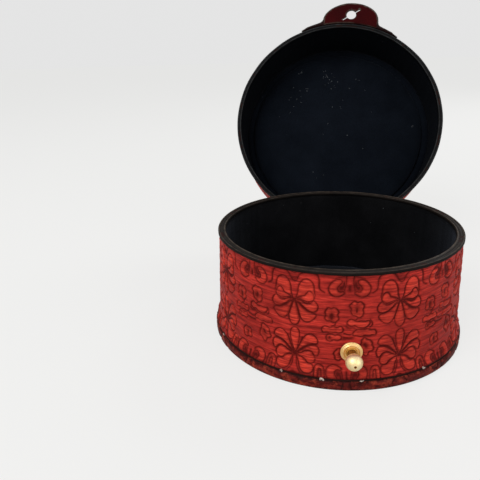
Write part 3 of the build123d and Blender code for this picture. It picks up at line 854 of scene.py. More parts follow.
def tooledDisc(name, radius, low, high, material, place, coarser=1.15):
    # the lid's top: the same sheet cut round inside two creased rings
    inner = radius - lidTopLook["creases"][-1][0]
    lines = []
    reach = np.array([inner, inner])
    for line, width, dark, raised in linesOver(-reach, reach, (0.0, -tooling["height"] / 2)):
        keep = np.hypot(line[:, 0], line[:, 1]) < inner - 0.8
        for run in np.split(np.arange(len(line)), np.flatnonzero(np.diff(keep.astype(int))) + 1):
            if keep[run[0]] and len(run) > 1:
                lines.append((line[run], width, dark, raised))
    lines += [(circle(radius - inset), width, 0.9, False) for inset, width in lidTopLook["creases"]]
    points, field = sheetPoints(lines, np.array([-radius, -radius]), np.array([radius, radius]), coarser)
    reach = np.hypot(points[:, 0], points[:, 1])
    rings = [circle(radius - inset)[:-1] for inset in (0.0, 0.10, 0.27, 0.5, 0.9)]
    points, faces = triangles(np.vstack(rings + [points[reach < radius - 1.3]]))
    mark, gap = field.read(points)
    raised = raisedAt(points, lines)
    reach = np.hypot(points[:, 0], points[:, 1])
    edge = lidTopLook["edge"]
    inset = np.clip(radius - reach, 0, edge)
    roll = edge - np.sqrt(np.maximum(edge ** 2 - (edge - inset) ** 2, 0))
    rise = relief(mark, gap, raised) * np.clip((radius - reach) / 3, 0, 1)
    top = np.column_stack([points, high + rise - roll])
    verts = list(top)
    rim = np.flatnonzero(reach > radius - 1e-3)
    rim = rim[np.argsort(np.arctan2(points[rim, 1], points[rim, 0]))]
    inside = []
    for i in rim:
        inside.append(len(verts))
        verts.append(np.array([points[i, 0] * 0.999, points[i, 1] * 0.999, low]))
    n = len(rim)
    faces += [(int(rim[k]), inside[k], inside[(k + 1) % n], int(rim[(k + 1) % n])) for k in range(n)]
    centre = len(verts)
    verts.append(np.array([0.0, 0.0, low]))
    faces += [(inside[(k + 1) % n], inside[k], centre) for k in range(n)]
    piece = makePiece(name, np.array(verts), faces, material, place)
    extra = len(verts) - len(points)
    addValues(piece, "line", np.r_[mark, np.zeros(extra)])
    addValues(piece, "raised", np.r_[raised, np.zeros(extra)])
    addSheetMap(piece, np.vstack([points, np.zeros((extra, 2))]))
    return piece


lidDisc = tooledDisc("lidTopTooledLeather", lidTop["outer"], lidTop["low"], lidTop["high"], redTooled,
                     openLid)
dress(lidDisc, "lid_top_leather", "lid")
print("lid top leather", len(lidDisc.data.polygons))


# Bindings: dark leather turned over the two rims

bindingLook = {
    "bead": 0.62,             # radius of the two raised edges
    "dip": 0.62,              # hollow between them
    "skin": 0.42,
    "waver": 0.10,
    "rubAndSheen": 0.30,              # how far the wear and painted sheen fade off the raised edges
    "steps": 300,
}


def turnedOver(inner, outer, edge, leg, way):
    # profile over a rim at height edge, with legs reaching down (way -1) or up (way 1)
    bead, dip, skin = bindingLook["bead"], bindingLook["dip"], bindingLook["skin"]
    profile = [(inner, leg), (inner, edge + way * 0.75)]
    for start, centre in ((180, inner + bead), (90, outer - bead)):
        for k in range(7):
            a = math.radians(start - 90 * k / 6)
            profile.append((centre + bead * math.cos(a), edge + way * bead - way * bead * math.sin(a)))
        if start == 180:
            for share in (0.2, 0.4, 0.6, 0.8):
                across = inner + bead + share * (outer - inner - 2 * bead)
                profile.append((across, edge + way * dip * math.sin(math.pi * share) ** 0.8))
    profile += [(outer, edge + way * 0.75), (outer, leg), (outer - skin, leg)]
    inside = edge + way * skin * 1.05
    return profile + [(outer - skin, inside), (inner + skin, inside), (inner + skin, leg)]


def addBinding(name, size, edge, leg, way, seed, place, body, nodeName):
    profile = turnedOver(size["inner"], size["outer"], edge, leg, way)

    def wobble(turn):
        height = np.array([1.0 if abs(z - leg) > 0.1 else 2.2 for r, z in profile])[:, None]
        side = waves(turn * 3, seed, bindingLook["waver"] * 0.4, 6)
        lift = height * (waves(turn * 2, seed + 1, bindingLook["waver"] * 0.5, 9)
                         + 0.3 * waves(turn * 9, seed + 2, bindingLook["waver"], 7))
        return side + np.zeros_like(height), lift * np.where(height > 1.5, 1, 0.25)

    steps, fade, bead = (bindingLook[k] for k in ("steps", "rubAndSheen", "bead"))
    piece = lathe(name, profile, edgeLeather if body == "body" else lidEdgeLeather, steps, place, wobble)
    # wear and painted sheen on the tops of the two beads
    rubAndSheen = []
    for r, z in profile:
        off = min(abs(r - size["inner"] - bead), abs(r - size["outer"] + bead))
        rubAndSheen.append(math.exp(-(abs(z - edge) / fade) ** 2) * math.exp(-(off / fade) ** 2))
    addValues(piece, "rubAndSheen", np.repeat(rubAndSheen, steps))
    dress(piece, nodeName, body)
    return piece


addBinding("bodyRimBinding", rimSize, rimSize["high"], rimSize["low"], -1, 11, asDrawn, "body", "rim_binding")
addBinding("lidRimBinding", lidRim, lidRim["low"], lidRim["high"], 1, 23, openLid, "lid", "lid_rim_binding")
print("bindings made")


# Velvet linings of the walls and behind the lid's pad

def wallVelvet(name, size, seed, place, body, nodeName, material):
    # a cloth ring pressed on the board, with a butt seam at the back
    rows = np.linspace(size["low"], size["high"], 15)
    inside = [(size["inner"], z) for z in rows]
    profile = inside + [(size["outer"], rows[-1]), (size["outer"], rows[0])]
    inner = np.array([1.0] * len(inside) + [0.0, 0.0])[:, None]

    def wobble(turn):
        press = sum(waves(turn * k, seed + k, 0.07, 7) for k in (1, 5, 11))
        slack = np.sin(np.linspace(0, math.pi, len(profile)))[:, None]
        seam = 0.45 * np.exp(-((turn - math.pi) / 0.008) ** 2)
        return inner * np.clip(press * (0.4 + 0.6 * slack) + 0.12 + seam, 0.0, 0.5), 0.0

    piece = lathe(name, profile, material, 288, place, wobble)
    dress(piece, nodeName, body)
    return piece


wallVelvet("wellVelvet", wallVelvetSize, 31, asDrawn, "body", "wall_lining", blackVelvet)
# the lid's wall gets the darker navy copy: painted shade
wallVelvet("lidWallVelvet", lidVelvetSize, 43, openLid, "lid", "lid_wall_lining", navyShade)

panel = ringSize("lid_panel_lining", True)
panelProfile = [(0.02, panel["low"]), (0.02, panel["high"]), (panel["outer"], panel["high"])]
panelProfile += [(r, panel["low"]) for r in np.linspace(panel["outer"], 3.0, 20)]
panelVelvet = lathe("lidPanelVelvet", panelProfile[::-1], navyVelvet, 192, openLid,
                    lambda turn: (0.0, np.array([0.0 if abs(z - panel["low"]) > 0.1 or r < 1 else 1.0
                                                 for r, z in panelProfile[::-1]])[:, None]
                                  * np.clip(waves(turn * 5, 57, 0.07, 9) + 0.1, 0, 0.3)))
dress(panelVelvet, "lid_panel_lining", "lid")
print("velvet linings made")


# Padded discs, swelled by a cloth simulation at twenty times their size

padLook = {
    "rings": 34,
    "steps": 144,
    "scale": 20.0,
    "pressure": 5.0,
    "frames": 18,
    "cap": 0.55,              # farthest that the cloth moves a point
    "gather": 0.16,           # depth of the tucks where the cloth turns under the edge
}


def padPoints(radius, edge, crown, seed):
    # crowned top, rolled edge and flat underside of a covered disc, resting at height 0
    rings, steps = padLook["rings"], padLook["steps"]
    roll = edge / 2
    turn = np.linspace(0, 2 * math.pi, steps, endpoint=False)
    profile = []
    for share in np.linspace(0, 1, rings)[1:] ** 0.9:
        r = share * (radius - roll)
        profile.append((r, edge + (crown - edge) * (1 - share ** 2.4) ** 1.1))
    for k in range(1, 8):
        a = math.radians(90 - 180 * k / 8)
        profile.append((radius - roll + roll * math.cos(a), roll + roll * math.sin(a)))
    for share in np.linspace(1, 0, 8)[:-1]:
        profile.append((share * (radius - roll), 0.0))
    r = np.array([p[0] for p in profile])[:, None] + np.zeros(steps)
    z = np.array([p[1] for p in profile])[:, None] + np.zeros(steps)
    close = np.exp(-((radius - r) / 4.5) ** 2) * (z > 0.05)
    tucks = waves(turn * 13, seed, 1.0, 9) * waves(turn, seed + 1, 0.7, 5)
    dimples = sum(waves(turn * k, seed + 5 + k, 0.5, 3) for k in (1, 2))
    z = z + close * padLook["gather"] * np.clip(tucks, -1.6, 0.6) * (z > roll * 0.6)
    z = z + 0.10 * dimples * np.sin(np.clip(r / radius, 0, 1) * math.pi) * (z > edge * 0.9)
    points = np.stack([r * np.sin(turn), -r * np.cos(turn), z], -1).reshape(-1, 3)
    top, bottom = len(points), len(points) + 1
    points = np.vstack([points, [0, 0, crown], [0, 0, 0]])
    count = len(profile)
    faces = []
    for i in range(count - 1):
        for j in range(steps):
            k = (j + 1) % steps
            faces.append((i * steps + j, (i + 1) * steps + j, (i + 1) * steps + k, i * steps + k))
    for j in range(steps):
        k = (j + 1) % steps
        faces.append((top, j, k))
        faces.append((bottom, (count - 1) * steps + k, (count - 1) * steps + j))
    return points, faces


def swell(points, faces, held):
    # cloth filled with air, held where it is glued; returns the moved points
    scale = padLook["scale"] * mm
    mesh = bpy.data.meshes.new("padCloth")
    mesh.from_pydata((points * scale).tolist(), [], faces)
    cloth = bpy.data.objects.new("padCloth", mesh)
    bpy.context.scene.collection.objects.link(cloth)
    group = cloth.vertex_groups.new(name="held")
    group.add([int(i) for i in np.flatnonzero(held)], 1.0, "REPLACE")
    modifier = cloth.modifiers.new("cloth", "CLOTH")
    settings = modifier.settings
    settings.use_pressure = True
    settings.uniform_pressure_force = padLook["pressure"]
    settings.vertex_group_mass = "held"
    settings.quality = 6
    settings.mass = 0.3
    settings.tension_stiffness = 25
    settings.compression_stiffness = 25
    settings.shrink_min = -0.012
    settings.effector_weights.gravity = 0
    modifier.point_cache.frame_start = 1
    modifier.point_cache.frame_end = padLook["frames"]
    moved = points
    for step in range(1, padLook["frames"] + 1):
        bpy.context.scene.frame_set(step)
        shape = cloth.evaluated_get(bpy.context.evaluated_depsgraph_get()).to_mesh()
        moved = np.array([v.co for v in shape.vertices]) / scale
    bpy.context.scene.frame_set(1)
    bpy.data.objects.remove(cloth)
    bpy.data.meshes.remove(mesh)
    shift = moved - points
    far = np.linalg.norm(shift, axis=1)[:, None]
    return points + shift * np.minimum(1, padLook["cap"] / np.maximum(far, 1e-9))


def addPad(name, size, base, edge, up, seed, place, body, nodeName, material):
    # up is 1 for a pad on the floor, -1 for one under the lid's panel
    radius = size["outer"] - 0.45
    crown = size["high"] - size["low"] - 0.45
    points, faces = padPoints(radius, edge, crown, seed)
    points = swell(points, faces, points[:, 2] < 0.3)
    points[:, 2] = np.maximum(points[:, 2], 0.0)
    points[:, 2] = base + up * points[:, 2]
    piece = makePiece(name, points, faces if up > 0 else [f[::-1] for f in faces], material, place)
    dress(piece, nodeName, body)
    return piece


addPad("floorCushion", floorPadSize, floorPadSize["low"], 1.8, 1, 61, asDrawn, "body", "floor_pad",
       blackVelvet)
lidCushion = addPad("lidCushion", lidPadSize, lidPadSize["high"], 1.6, -1, 71, openLid, "lid", "lid_pad",
                    navyVelvet)
print("padded discs made")


# Stud: turned brass button, its base bedded in the wall leather

studLook = {
    "flange": (studFlange, 0.9),     # radius and thickness
    "rim": 0.42,              # rounding of the flange's edge
    "dish": 0.78,             # depth of the hollow round the neck
    "step": (4.2, 1.5),       # radius and height
    "neck": 2.15,
    "ball": (3.95, 8.6),      # radius, and its centre from the seat
    "mark": 0.50,             # radius of the turner's centre mark
    "steps": 96,
}


def studProfile():
    flangeR, flangeT = studLook["flange"]
    stepR, stepT = studLook["step"]
    ballR, ballOut = studLook["ball"]
    rim, dish, neck, mark = (studLook[k] for k in ("rim", "dish", "neck", "mark"))
    profile = [(0.0, 0.0), (flangeR - 0.1, 0.0)]
    for k in range(9):
        a = math.radians(-90 + 180 * k / 8)
        profile.append((flangeR - rim + rim * math.cos(a), flangeT - rim + rim * math.sin(a)))
    profile.append((stepR + 0.28, flangeT - 0.10))
    for k in range(7):
        a = math.radians(180 * k / 6)
        profile.append((stepR - 0.24 + 0.24 * math.cos(a), stepT - 0.24 + 0.24 * math.sin(a)))
    for share in np.linspace(0.12, 1, 9):
        across = stepR - 0.48 - share * (stepR - 0.48 - neck - 0.62)
        profile.append((across, stepT - 0.24 - dish * math.sin(math.pi / 2 * share) ** 0.7))
    for k in range(6):
        a = math.radians(20 + 130 * k / 5)
        profile.append((neck + 0.34 + 0.24 * math.cos(a), stepT - dish + 0.10 + 0.30 * math.sin(a)))
    base = ballOut - math.sqrt(ballR ** 2 - neck ** 2)
    root = stepT - dish + 0.2
    for share in np.linspace(0.1, 0.92, 7):
        profile.append((neck - 0.20 * math.sin(math.pi * share), root + share * (base - root)))
    start = math.asin(neck / ballR)
    for a in np.linspace(math.pi - start, math.asin(mark / ballR), 40):
        profile.append((ballR * math.sin(a), ballOut + ballR * math.cos(a)))
    tip = ballOut + math.sqrt(ballR ** 2 - mark ** 2)
    profile += [(mark * 0.86, tip - 0.22), (mark * 0.5, tip - 0.60), (0.0, tip - 0.70)]
    return profile


def turnedPiece(name, profile, seat, along, material):
    # round piece about the line from seat, closed at both poles
    steps = studLook["steps"]
    side = np.cross(along, (0, 0, 1.0))
    side /= np.linalg.norm(side)
    other = np.cross(along, side)
    turn = np.linspace(0, 2 * math.pi, steps, endpoint=False)
    points, rings = [], []
    for r, out in profile:
        if r < 1e-6:
            rings.append([len(points)])
            points.append(seat + out * along)
            continue
        rings.append(list(range(len(points), len(points) + steps)))
        points += [seat + out * along + r * (math.cos(t) * side + math.sin(t) * other) for t in turn]
    faces = []
    for low, high in zip(rings[:-1], rings[1:]):
        for j in range(steps):
            k = (j + 1) % steps
            if len(low) == 1:
                faces.append((low[0], high[j], high[k]))
            elif len(high) == 1:
                faces.append((low[j], high[0], low[k]))
            else:
                faces.append((low[j], high[j], high[k], low[k]))
    return makePiece(name, np.array(points), faces, material)


studWay = np.array([math.sin(studTurn), -math.cos(studTurn), 0.0])
studSeatOut = (studAt @ studWay).min()
studLine = studProfile()
ballStud = turnedPiece("ballStud", studLine, studWay * studSeatOut + (0, 0, studHeight), studWay, brass)


def tarnishAndShadeAt(r, out):
    # painted shade, with some tarnish on the flange and in the dish: darkest in the centre mark and round the
    # neck, light on the flange, none on the ball
    if out > studLook["ball"][1] and r <= studLook["mark"]:
        return 1.0
    if 1.0 < out < studLook["ball"][1] - 3.0 and r < studLook["step"][0] - 0.6:
        return 0.36 + 0.54 * math.exp(-((r - studLook["neck"]) / 0.7) ** 2)
    return 0.17 * (out < 3)


tarnishAndShade = [tarnishAndShadeAt(r, out) for r, out in studLine
           for k in range(1 if r < 1e-6 else studLook["steps"])]
addValues(ballStud, "tarnishAndShade", tarnishAndShade)
dress(ballStud, "stud", "body")
print("stud turned")


# Flap with its sewn collar: leather bent out at the lid's edge, lined on its inner face

flapLook = {
    "outline": [(-19.8, 1.2), (-19.4, 3.4), (-17.9, 6.6), (-14.6, 10.0), (-10.6, 12.5), (-6.0, 14.3),
                (-1.0, 15.1), (4.0, 15.0), (8.6, 14.1), (13.2, 12.2), (16.8, 9.4), (18.9, 6.0),
                (19.6, 3.2), (19.9, 1.2)],
    "wings": [(20.6, -0.4), (22.4, -1.5), (26.0, -3.1), (30.0, -5.0)],   # right side
    "wingReach": 34.0,
    "hole": (0.0, 6.2, 3.4),
    "slit": (13.6, 0.90, 36.0),
    "thick": 1.0,
    "lining": 0.6,
    "inset": 0.75,
    "bend": 1.3,
    "collar": 8.5,
    "stitchInset": 1.6,
}
flapTurn = studTurn
lidR = lidLeather["outer"]
lidEdge = lidRim["low"]
bendLength = flapLook["bend"] * math.pi / 2


def rimOut(across):
    # how far the lid's edge falls back from its tangent at the flap
    return np.sqrt(lidR ** 2 - np.asarray(across, float) ** 2) - lidR


def alongFrom(extent):
    # length along the bent leather that reaches this far out from the lid's wall
    extent = np.asarray(extent, float)
    inside = bendLength * np.arccos(np.clip(1 - extent / flapLook["bend"], -1, 1)) / (math.pi / 2)
    return np.where(extent < flapLook["bend"], inside, extent - flapLook["bend"] + bendLength)


def collarHeight(across):
    return flapLook["collar"] * np.clip(1 - (across / flapLook["wingReach"]) ** 2, 0, 1) ** 0.6


def flapPoint(across, along, off):
    # a point of the flap's leather, closed lid: off is its height over the face that bears on the wall
    across, along, off = np.broadcast_arrays(np.asarray(across, float), along, off)
    bend = flapLook["bend"]
    angle = np.clip(along / bend, 0, math.pi / 2)
    beyond = np.maximum(along - bendLength, 0)
    out = bend - (bend - off) * np.cos(angle) + beyond
    z = lidEdge + 0.3 - np.minimum(along, 0) - (bend - off) * np.sin(angle)
    wall = np.arcsin(across / lidR) * (1 - np.clip(along / bendLength, 0, 1))
    fall = lidR + rimOut(across)
    x = across + out * np.sin(wall)
    y = fall + out * np.cos(wall)
    c, s = math.cos(flapTurn), math.sin(flapTurn)
    return np.stack([x * c + y * s, x * s - y * c, z], -1)


def inset(polygon, distance):
    # a closed outline moved inward
    way = np.roll(polygon, -1, axis=0) - np.roll(polygon, 1, axis=0)
    way /= np.maximum(np.linalg.norm(way, axis=1), 1e-9)[:, None]
    area = np.sum(polygon[:, 0] * np.roll(polygon[:, 1], -1) - np.roll(polygon[:, 0], -1) * polygon[:, 1])
    side = np.stack([-way[:, 1], way[:, 0]], -1) * (1 if area > 0 else -1)
    return polygon + side * distance


def keyhole(grow=0.0):
    # round hole crossed by a slanting slit, in (across, along)
    cx, cy, radius = flapLook["hole"]
    length, width, slant = flapLook["slit"]
    radius, width, length = radius + grow, width + 2 * grow, length + 2 * grow
    a = math.radians(slant)
    half = math.asin(width / 2 / radius)
    points = []
    for side in (0, 1):
        start = a + math.pi * side
        tip = [(length / 2, -width / 2), (length / 2 + width * 0.3, 0), (length / 2, width / 2)]
        c, s = math.cos(start), math.sin(start)
        points += [(x * c - y * s, x * s + y * c) for x, y in tip]
        for t in np.linspace(start + half, start + math.pi - half, 22):
            points.append((radius * math.cos(t), radius * math.sin(t)))
    points = np.array(points) + (cx, cy)
    return np.column_stack([points[:, 0], alongFrom(points[:, 1] - rimOut(points[:, 0]))])


def flapPattern(lining):
    right = [(x, y) for x, y in flapLook["wings"]]
    left = [(-x - 0.4, y - 0.1) for x, y in right[::-1]]
    reach = flapLook["wingReach"]
    edge = smoothLine(left + flapLook["outline"] + right, step=0.45)
    edge = np.column_stack([edge[:, 0], alongFrom(edge[:, 1] - rimOut(edge[:, 0]))])
    if lining:
        edge = edge[(abs(edge[:, 0]) < 19.5 + 0.4) & (edge[:, 1] > 3.2)]
        edge = inset(edge, flapLook["inset"])[1:-1]
        root = np.array([(x, 0.9) for x in np.linspace(edge[-1, 0] - 0.05, edge[0, 0] + 0.05, 46)])
        return np.vstack([edge, root])
    root = np.linspace(reach - 0.5, -reach + 0.5, 110)
    return np.vstack([[(-reach, 0.1)], edge, [(reach, 0.1)], np.column_stack([root, -collarHeight(root)])])


def leatherSheet(name, outline, hole, offs, thin, material, step=0.85):
    # flat pattern cut out, filled with points, thickened and bent to its place
    low, high = outline.min(0), outline.max(0)
    rows = np.r_[np.arange(low[1], -0.6, step), np.arange(-0.6, 3.2, 0.32), np.arange(3.2, high[1], step)]
    x, y = np.meshgrid(np.arange(low[0], high[0], step), rows)      # closer rows in the bend
    grid = np.stack([x.ravel(), y.ravel()], -1)
    rims = np.vstack([outline, hole])
    near = np.min(np.linalg.norm(grid[:, None] - rims[None], axis=2), axis=1)
    grid = grid[(near > 0.45) & insidePolygon(grid, outline) & ~insidePolygon(grid, hole)]
    loops = [(0, len(outline)), (len(outline), len(rims))]
    edges = [(i, i + 1 if i + 1 < end else start) for start, end in loops for i in range(start, end)]
    points, faces = triangles(np.vstack([rims, grid]), edges)
    middle = points[np.array(faces)].mean(axis=1)
    inner = insidePolygon(middle, outline) & ~insidePolygon(middle, hole)
    faces = [f for f, good in zip(faces, inner) if good]
    sides = dict.fromkeys((a, b) for f in faces for a, b in zip(f, f[1:] + f[:1]))
    border = [(a, b) for a, b in sides if (b, a) not in sides]
    onBorder = np.zeros(len(points), bool)
    onBorder[[a for a, b in border]] = True
    thick = thin(points)
    lower = offs[0] * thick + np.where(onBorder, 0.14, 0.0)
    upper = offs[1] * thick - np.where(onBorder, 0.14, 0.0)
    n = len(points)
    placed = np.vstack([flapPoint(points[:, 0], points[:, 1], off) for off in (lower, upper)])
    allFaces = [f[::-1] for f in faces] + [tuple(i + n for i in f) for f in faces]
    allFaces += [(a, b, b + n, a + n) for a, b in border]
    piece = makePiece(name, placed, allFaces, material, openLid)
    addValues(piece, "rubAndSheen", np.r_[onBorder, onBorder].astype(float))
    return piece


def skived(points):
    # thinner towards the collar's sewn edge
    fromTop = points[:, 1] + collarHeight(points[:, 0])
    return np.where(points[:, 1] < 0, 0.45 + 0.55 * np.clip(fromTop / 2.5, 0, 1), 1.0)


flapLeather = leatherSheet("flapLeather", flapPattern(False), keyhole(), (0.0, flapLook["thick"]), skived,
                           flapOutside)
flapLining = leatherSheet("flapLining", flapPattern(True), keyhole(0.12), (-flapLook["lining"], 0.0),
                          lambda points: np.ones(len(points)), flapInside)
bendStart = flapPoint(0.0, -0.1, flapLook["thick"])
for piece, nodeName in ((flapLeather, "closing_flap"), (flapLining, "flap_lining")):
    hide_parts(nodeName)
    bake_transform(piece)
print("flap made", len(flapLeather.data.polygons))


# Hinge strap, one piece from the body's wall over to the open lid

strapLook = {
    "half": 14.5,             # degrees round the body
    "thick": 1.2,
    "foot": 9.0,
    "top": 20.5,
    "lidStart": 9.0,
    "lidLength": 20.0,
    "corner": 3.0,
    "bend": 2.4,
    "crease": 1.9,            # blind line, in from each side
    "creaseDepth": 0.2,
    "slack": 0.8,
    "bodyRadius": 67.2,       # where its width is measured round the body
    "lidRadius": 67.4,
}
strapHalf = math.radians(strapLook["half"]) * strapLook["bodyRadius"]


def strapColumns():
    crease = strapHalf - strapLook["crease"]
    across = np.r_[np.linspace(0, crease - 0.6, 15), crease - 0.3, crease, crease + 0.3,
                   np.linspace(crease + 0.7, strapHalf, 6)]
    return np.r_[-across[:0:-1], across]


def cornerCut(across):
    over = np.maximum(abs(across) - strapHalf + strapLook["corner"], 0)
    return strapLook["corner"] - np.sqrt(np.maximum(strapLook["corner"] ** 2 - over ** 2, 0))


def strapOnBody(across, z, off):
    turn = across / strapHalf * math.radians(strapLook["half"])
    r = wallRadius(z) + off
    return np.stack([r * np.sin(turn), r * np.cos(turn), z + 0 * turn], -1)


def strapOnLid(across, up, off):
    turn = across / strapHalf * math.radians(strapLook["half"]) * strapLook["lidRadius"] / lidR
    r = lidR + off
    return openLid(np.stack([r * np.sin(turn), r * np.cos(turn), lidEdge + up + 0 * turn], -1))


def strapRows(across, off):
    # rows of points from the foot of the body's leaf to the end of the lid's
    cut = cornerCut(across)
    bend = strapLook["bend"]
    foot = strapLook["foot"] + cut
    rows = [strapOnBody(across, foot + (strapLook["top"] - bend - foot) * share, off)
            for share in np.linspace(0, 1, 12)]
    first = strapOnBody(across, strapLook["top"], off)
    last = strapOnLid(across, strapLook["lidStart"], off)
    free = last - first
    length = np.linalg.norm(free, axis=1)[:, None]
    for corner, before, after in (
            (first, rows[-1], first + free / length * bend),
            (last, last - free / length * bend, strapOnLid(across, strapLook["lidStart"] + bend, off))):
        if corner is last:
            start = first + free / length * bend
            for share in np.linspace(0, 1, 10)[1:-1]:
                sag = strapLook["slack"] * math.sin(math.pi * share)
                sag = sag * (1 - (across / strapHalf) ** 2)[:, None]
                lift = np.array([0, -free[:, 2].mean(), free[:, 1].mean()]) / np.linalg.norm(free.mean(0))
                rows.append(start + (before - start) * share + sag * np.array([0, lift[1], lift[2]]) * 0.7)
        for t in np.linspace(0, 1, 7)[(0 if corner is last else 1):]:
            rows.append((1 - t) ** 2 * before + 2 * t * (1 - t) * corner + t * t * after)
    start = strapLook["lidStart"] + bend
    end = strapLook["lidStart"] + strapLook["lidLength"] - cut
    for share in np.linspace(0, 1, 15)[1:]:
        rows.append(strapOnLid(across, start + (end - start) * share, off))
    return np.array(rows)


def addStrap():
    across = strapColumns()
    thick = strapLook["thick"]
    middle = strapRows(across, thick / 2 + 0.03)
    normal = np.cross(np.gradient(middle, axis=1), np.gradient(middle, axis=0))
    normal /= np.linalg.norm(normal, axis=2)[:, :, None]
    if (normal[2, len(across) // 2] @ (0, 1.0, 0)) < 0:
        normal = -normal
    crease = strapHalf - strapLook["crease"]
    hollow = strapLook["creaseDepth"] * np.exp(-((abs(across) - crease) / 0.28) ** 2)
    edge = np.clip((abs(across) - strapHalf + 0.5) / 0.5, 0, 1) ** 2
    ends = np.zeros(len(middle))
    ends[[0, -1]] = 1
    half = thick / 2 * (1 - 0.45 * np.maximum(edge[None, :], ends[:, None]))
    outer = middle + normal * (half - hollow[None, :])[:, :, None]
    inner = middle - normal * half[:, :, None]
    rows, columns = middle.shape[:2]
    points = np.vstack([outer.reshape(-1, 3), inner.reshape(-1, 3)])
    n = rows * columns
    faces = []
    for i in range(rows - 1):
        for a in range(i * columns, (i + 1) * columns - 1):
            b, c, d = a + 1, a + columns + 1, a + columns
            faces += [(a, d, c, b), (a + n, b + n, c + n, d + n)]
    border = [(i * columns, (i + 1) * columns) for i in range(rows - 1)]
    border += [((i + 1) * columns + columns - 1, i * columns + columns - 1) for i in range(rows - 1)]
    border += [(j + 1, j) for j in range(columns - 1)]
    border += [((rows - 1) * columns + j, (rows - 1) * columns + j + 1) for j in range(columns - 1)]
    faces += [(a, a + n, b + n, b) for a, b in border]
    piece = makePiece("hingeStrap", points, faces, redStrap)
    rubAndSheen = np.maximum(edge[None, :] + 0 * ends[:, None], ends[:, None] + 0 * edge[None, :]).ravel()
    addValues(piece, "rubAndSheen", np.r_[rubAndSheen, rubAndSheen])
    return piece


hingeStrap = addStrap()
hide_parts("hinge_strap_body", "hinge_strap_lid")
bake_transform(hingeStrap)
print("hinge strap made")


# Stitches, beads and lint by Geometry Nodes

def newTree(name, inputs):
    tree = bpy.data.node_groups.new(name, "GeometryNodeTree")
    tree.interface.new_socket("Geometry", in_out="INPUT", socket_type="NodeSocketGeometry")
    for label, kind, value in inputs:
        socket = tree.interface.new_socket(label, in_out="INPUT", socket_type=kind)
        if value is not None:
            socket.default_value = value
    tree.interface.new_socket("Geometry", in_out="OUTPUT", socket_type="NodeSocketGeometry")
    return tree, tree.nodes.new("NodeGroupInput"), tree.nodes.new("NodeGroupOutput")


def placeAlong(tree, result, points, shape, rotation, material, scale=1.0):
    # a shape on each point, as plain geometry in one material
    values = {"Points": points, "Instance": shape, "Rotation": rotation}
    placed = node(tree, "GeometryNodeInstanceOnPoints", values)
    if scale != 1.0:
        tree.links.new(scale, placed.inputs["Scale"])
    real = node(tree, "GeometryNodeRealizeInstances", {"Geometry": placed.outputs[0]})
    dressed = node(tree, "GeometryNodeSetMaterial", {"Geometry": real.outputs[0], "Material": material})
    tree.links.new(dressed.outputs[0], result.inputs[0])


def turnedBy(tree, rotation, angle):
    # a rotation followed by a turn about its own upright axis
    lean = node(tree, "ShaderNodeCombineXYZ", {"Z": angle})
    values = {"Rotation": rotation, "Rotate By": lean.outputs[0]}
    return node(tree, "FunctionNodeRotateRotation", values, rotation_space="LOCAL").outputs[0]


def outwardWay(tree):
    named = node(tree, "GeometryNodeInputNamedAttribute", {"Name": "outward"}, data_type="FLOAT_VECTOR")
    return named.outputs[0]


def shaped(tree, base, **scales):
    scale = node(tree, "ShaderNodeCombineXYZ", scales)
    values = {"Geometry": base.outputs[0], "Scale": scale.outputs[0]}
    return node(tree, "GeometryNodeTransform", values).outputs[0]


def stitchTree():
    # thread laid in short lengths along a line, turned to the leather's face
    tree, given, result = newTree("sewnStitches", [
        ("Spacing", "NodeSocketFloat", 0.003), ("Length", "NodeSocketFloat", 0.0021),
        ("Thickness", "NodeSocketFloat", 0.0006), ("Slant", "NodeSocketFloat", 0.16),
        ("Thread", "NodeSocketMaterial", None)])
    value = given.outputs
    curve = node(tree, "GeometryNodeMeshToCurve", {"Mesh": value["Geometry"]})
    even = node(tree, "GeometryNodeResampleCurve", {"Curve": curve.outputs[0], "Length": value["Spacing"]},
                mode="LENGTH")
    tangent = node(tree, "GeometryNodeInputTangent")
    along = node(tree, "FunctionNodeAlignRotationToVector", {"Vector": tangent.outputs[0]}, axis="X")
    facing = node(tree, "FunctionNodeAlignRotationToVector",
                  {"Rotation": along.outputs[0], "Vector": outwardWay(tree)}, axis="Z", pivot_axis="X")
    bead = node(tree, "GeometryNodeMeshUVSphere", {"Segments": 8, "Rings": 6, "Radius": 0.5})
    sized = shaped(tree, bead, X=value["Length"], Y=value["Thickness"], Z=value["Thickness"])
    placeAlong(tree, result, even.outputs[0], sized, turnedBy(tree, facing.outputs[0], value["Slant"]),
               value["Thread"])
    return tree


def scatterTree():
    # small lumps at given points, of uneven size and turn
    tree, given, result = newTree("scatteredLumps", [
        ("Size", "NodeSocketFloat", 0.001), ("Flatness", "NodeSocketFloat", 0.6),
        ("Stretch", "NodeSocketFloat", 1.5), ("Seed", "NodeSocketInt", 1),
        ("Stuff", "NodeSocketMaterial", None)])
    value = given.outputs
    lump = node(tree, "GeometryNodeMeshIcoSphere", {"Radius": 0.5, "Subdivisions": 2})
    flat = shaped(tree, lump, X=value["Stretch"], Y=1.0, Z=value["Flatness"])
    share, spin = (node(tree, "FunctionNodeRandomValue", {"Min": low, "Max": high, "Seed": value["Seed"]},
                        data_type="FLOAT").outputs["Value"] for low, high in ((0.5, 1.3), (0.0, 6.28)))
    size = node(tree, "ShaderNodeMath", {0: share, 1: value["Size"]}, operation="MULTIPLY")
    facing = node(tree, "FunctionNodeAlignRotationToVector", {"Vector": outwardWay(tree)}, axis="Z")
    placeAlong(tree, result, value["Geometry"], flat, turnedBy(tree, facing.outputs[0], spin), value["Stuff"],
               size.outputs[0])
    return tree


